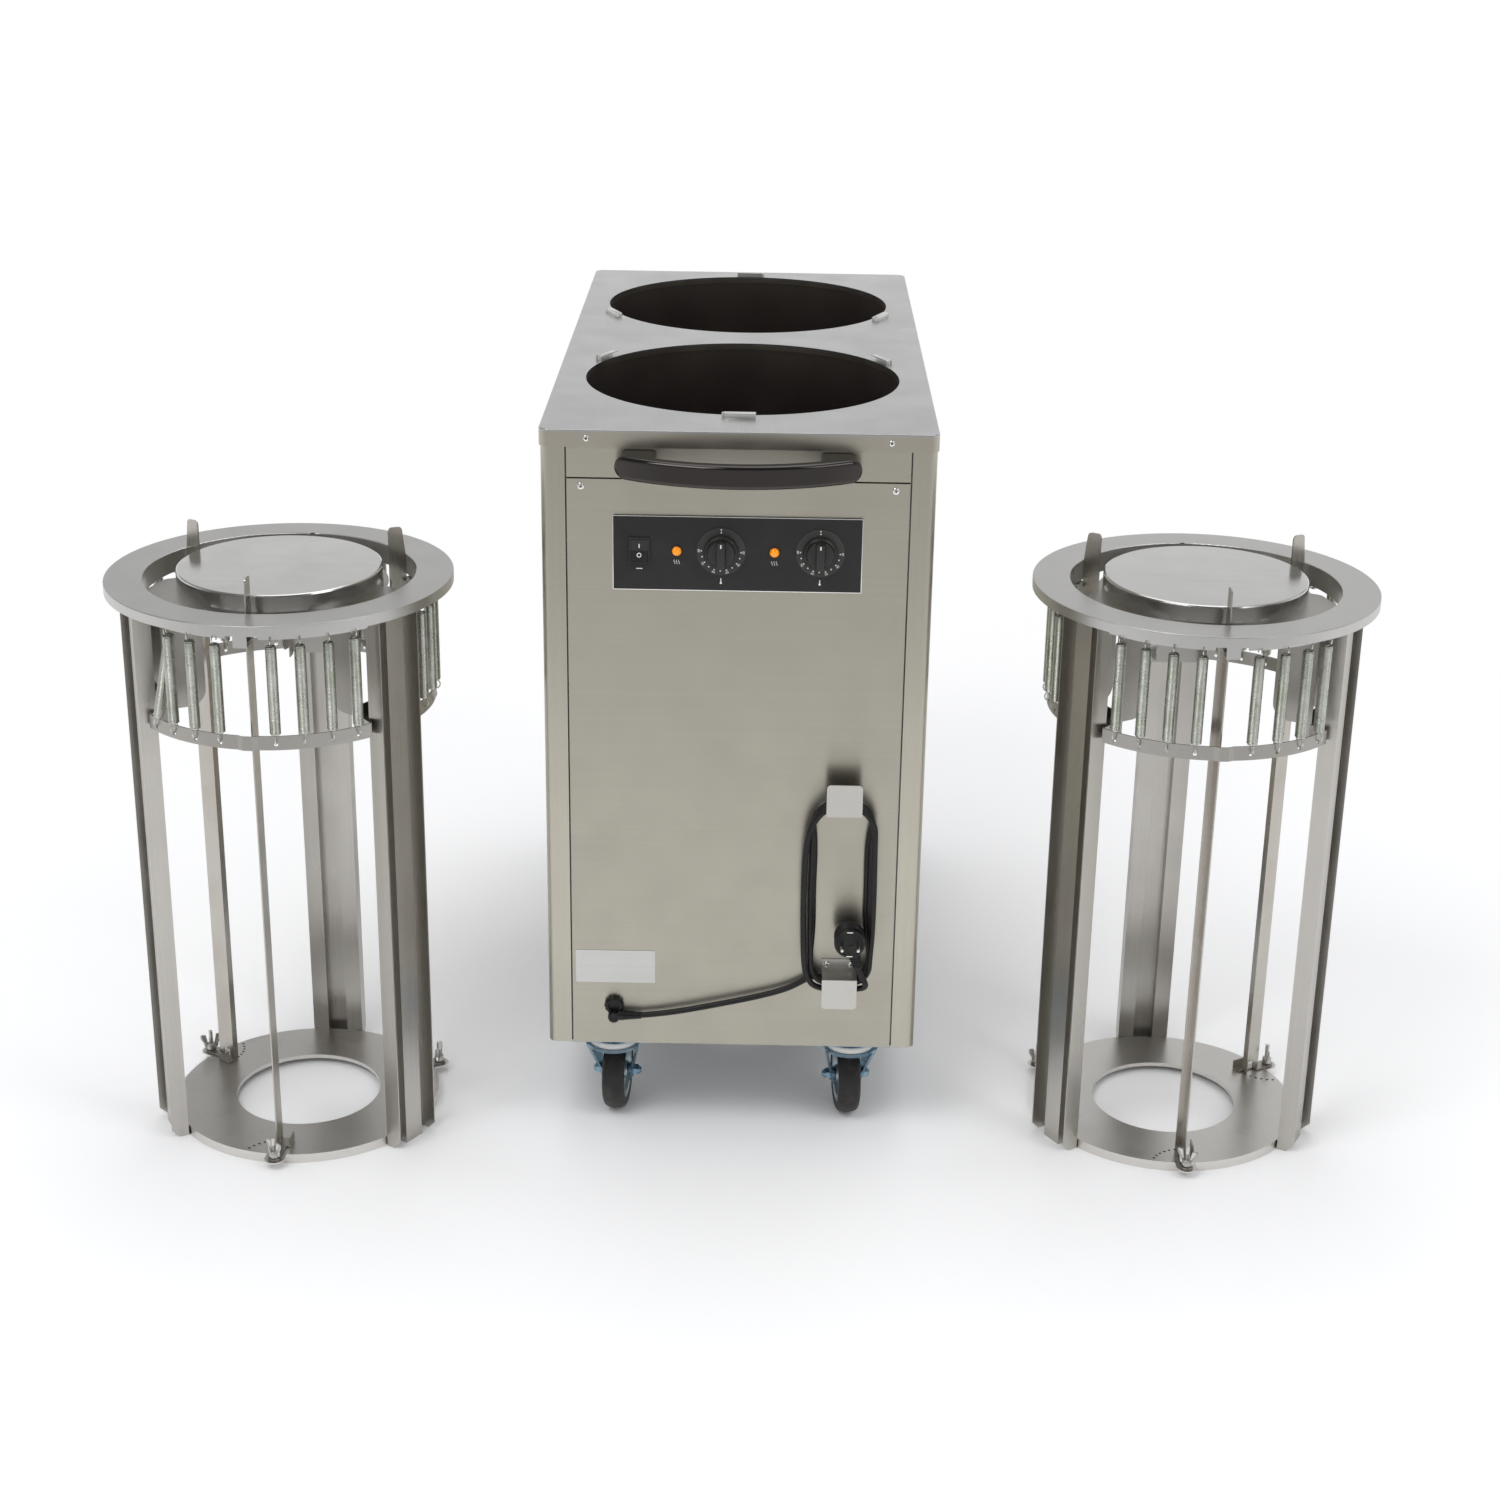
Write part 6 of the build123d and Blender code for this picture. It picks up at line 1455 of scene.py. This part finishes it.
# ---------------------------------------------------------------- plate lifters
WING_NUT_BOSS: Profile = ((2.6, 0.0), (6.1, 0.0), (6.2, 0.6), (5.9, 4.5), (5.4, 7.4), (4.4, 8.2), (2.6, 8.3),
                          (2.6, 0.0))
# a wing's cross-sections: out from the axis, up, height, half thickness
WING_RINGS = ((4.4, 4.4, 2.6, 2.4), (7.4, 8.4, 4.6, 2.0), (10.2, 13.4, 5.2, 1.7), (11.6, 17.6, 4.2, 1.5),
              (11.4, 20.4, 2.0, 1.1))
PIVOT_WASHER: Profile = ((2.6, 673.2), (6.6, 673.2), (6.8, 673.5), (6.8, 674.2), (6.4, 674.6), (2.6, 674.6))
PIVOT_NUT: Profile = ((2.6, 675.0), (5.0, 675.0), (5.2, 675.6), (5.2, 679.4), (4.8, 680.0), (2.6, 680.0))


@dataclass
class Lifter:
    """Springs, wing nuts and pivot hardware of one plate lifter."""

    place: LifterPlace
    coil_low: float = 562.4
    coil_long: float = 106.6
    coil_r: float = 5.7
    neck_r: float = 2.6
    wire: float = 0.8
    curl_r: float = 5.5
    taper: float = 2.4
    band_r: float = 177.0
    angles: tuple[float, ...] = (10.4, 20.8, 31.2, 41.5)
    leaning: tuple[float, float] = (180.0, -41.5)
    lean_side: float = 11.0
    lean_in: float = 5.5
    pivot_out: float = 174.0         # the guides' pivots from the lifter's axis
    nut_low: float = 15.0
    wing_turn: float = 55.0

    def wire_path(self, per_turn: int = 18) -> list[Vector]:
        """Centre line of the wire, from the lower hook through the coil to the upper one."""
        points: list[Vector] = []
        for k in range(25):
            a = math.radians(90 - 300 + 300 * k / 24)
            z = self.coil_low - self.curl_r + self.curl_r * math.sin(a)
            points.append(Vector((self.curl_r * math.cos(a), 0, z)))
        turns = int(self.coil_long / (2 * self.wire + 0.02))
        for k in range(turns * per_turn + 1):
            z = self.coil_long * k / (turns * per_turn)
            share = min(min(z, self.coil_long - z) / self.taper, 1.0)
            r = self.neck_r + (self.coil_r - self.neck_r) * math.sin(share * math.pi / 2)
            a = 2 * math.pi * k / per_turn
            points.append(Vector((r * math.cos(a), r * math.sin(a), self.coil_low + z)))
        top = self.coil_low + self.coil_long + self.curl_r
        for k in range(25):
            a = math.radians(-90 + 300 * k / 24)
            points.append(Vector((self.curl_r * math.cos(a), 0, top + self.curl_r * math.sin(a))))
        return [p * MM for p in points]

    def spring_places(self, guide: float) -> list[Matrix]:
        """Places of one arc's springs, hooked into band and flange."""
        places = []
        low = (self.coil_low - 2 * self.curl_r) * MM
        for angle in self.angles:
            for side in (-1, 1):
                turn = Matrix.Rotation(math.radians(guide + side * angle), 4, "Z")
                spot = self.place.frame() @ turn @ Matrix.Translation((self.band_r * MM, 0, 0))
                if self.place.leaning and (guide, side * angle) == self.leaning:
                    lean = (math.radians(-self.lean_side), math.radians(-self.lean_in), 0)
                    tilt = Euler(lean, "XYZ").to_matrix().to_4x4()
                    spot = spot @ Matrix.Translation((0, 0, low)) @ tilt @ Matrix.Translation((0, 0, -low))
                places.append(spot)
        return places

    def springs(self) -> None:
        """The springs, one piece for each arc, stretched between flange and carrier."""
        name = self.place.name
        axis = self.place.frame().translation
        for number, guide in enumerate(GUIDE_ANGLES, start=1):
            shape = Shape.tube(self.wire_path(), self.wire, 5)
            repeat = Repeat(f"{name}_springs_{number}", shape, SPRING_ZINC, 80.0)
            piece = repeat.piece(self.spring_places(guide))
            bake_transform(piece)
            if number == 1:
                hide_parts(f"{name}_springs")

    def wing_nut(self) -> Shape:
        """Cast wing nut over the stud at a guide's foot, drawn round the pivot."""
        low = self.nut_low
        shape = Shape.lathe([(r, low + z) for r, z in WING_NUT_BOSS], 32)
        for side in (0.0, math.pi):
            wing = Shape()
            rings = []
            for out, up, tall, thick in WING_RINGS:
                ring = []
                for k in range(12):
                    a = 2 * math.pi * k / 12
                    wing.verts.append(Vector((out + tall * 0.55 * math.cos(a), thick * math.sin(a),
                                              low + up + tall * 0.5 * math.sin(a + 0.5) * 0.5)) * MM)
                    ring.append(len(wing.verts) - 1)
                rings.append(ring)
            for a, b in zip(rings, rings[1:]):
                for k in range(12):
                    n = (k + 1) % 12
                    wing.faces.append((a[k], a[n], b[n], b[k]))
            wing.faces.append(tuple(reversed(rings[0])))
            wing.faces.append(tuple(rings[-1]))
            shape.add(wing, Matrix.Rotation(math.radians(self.wing_turn) + side, 4, "Z"))
        thread = [(2.5, low + 8.0)]
        for k in range(8):
            z = low + 8.4 + k * 1.0
            thread += [(2.75, z), (2.45, z + 0.5)]
        thread += [(2.4, low + 17.0), (0, low + 17.2)]
        shape.add(Shape.lathe(thread, 20))
        return shape

    def hardware(self) -> None:
        """Wing nuts below and washers above, on the guides' pivots."""
        name = self.place.name
        places = []
        for guide in GUIDE_ANGLES:
            turn = Matrix.Rotation(math.radians(guide), 4, "Z")
            places.append(self.place.frame() @ turn @ Matrix.Translation((self.pivot_out * MM, 0, 0)))
        nuts = Repeat(f"{name}_wing_nuts", self.wing_nut(), NUT_ZINC, 45.0).piece(places)
        washer = Shape.lathe(PIVOT_WASHER, 28)
        washer.add(Shape.lathe(PIVOT_NUT, 6))
        top = Repeat(f"{name}_pivot_nuts", washer, NUT_ZINC, 35.0).piece(places)
        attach(nuts, f"{name}_lifter")
        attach(top, f"{name}_lifter")

    def make(self) -> None:
        """Build the lifter's pieces."""
        self.springs()
        self.hardware()


# ---------------------------------------------------------------- whole scene
def dress_frame() -> None:
    """Give the CAD nodes listed in the finish tables their finish."""
    finishes = dict(CAD_FINISHES)
    for lifter in LIFTERS:
        finishes[f"{lifter.name}_flange"] = FLANGE_STEEL
        finishes[f"{lifter.name}_rails"] = LIFTER_STEEL
        finishes[f"{lifter.name}_base_ring"] = BASE_STEEL
        finishes[f"{lifter.name}_carrier"] = CARRIER_STEEL
        finishes[f"{lifter.name}_platform"] = PLATFORM_STEEL
        for number in range(1, len(GUIDE_ANGLES) + 1):
            finishes[f"{lifter.name}_guide_{number}"] = GUIDE_STEEL
    for name, _, _, _ in Castors().turns:
        finishes[f"castor_fork_{name}"] = BLUE_ZINC
    for node, obj in frame["nodes"].items():
        if node in finishes:
            obj.data.materials.clear()
            obj.data.materials.append(finishes[node].material())


def main() -> None:
    """Build the scene and report each piece."""
    logging.basicConfig(level=logging.INFO)
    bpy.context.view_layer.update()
    parts = [Studio(), MainsCord(), Controls(), Hardware(), Castors()]
    parts += [Lifter(place) for place in LIFTERS]
    known = set(bpy.data.objects.keys())
    for part in parts:
        part.make()
        for name in sorted(set(bpy.data.objects.keys()) - known):
            LOG.info("%s: %s", type(part).__name__, name)
            known.add(name)
    dress_frame()


if __name__ == "__main__":
    main()
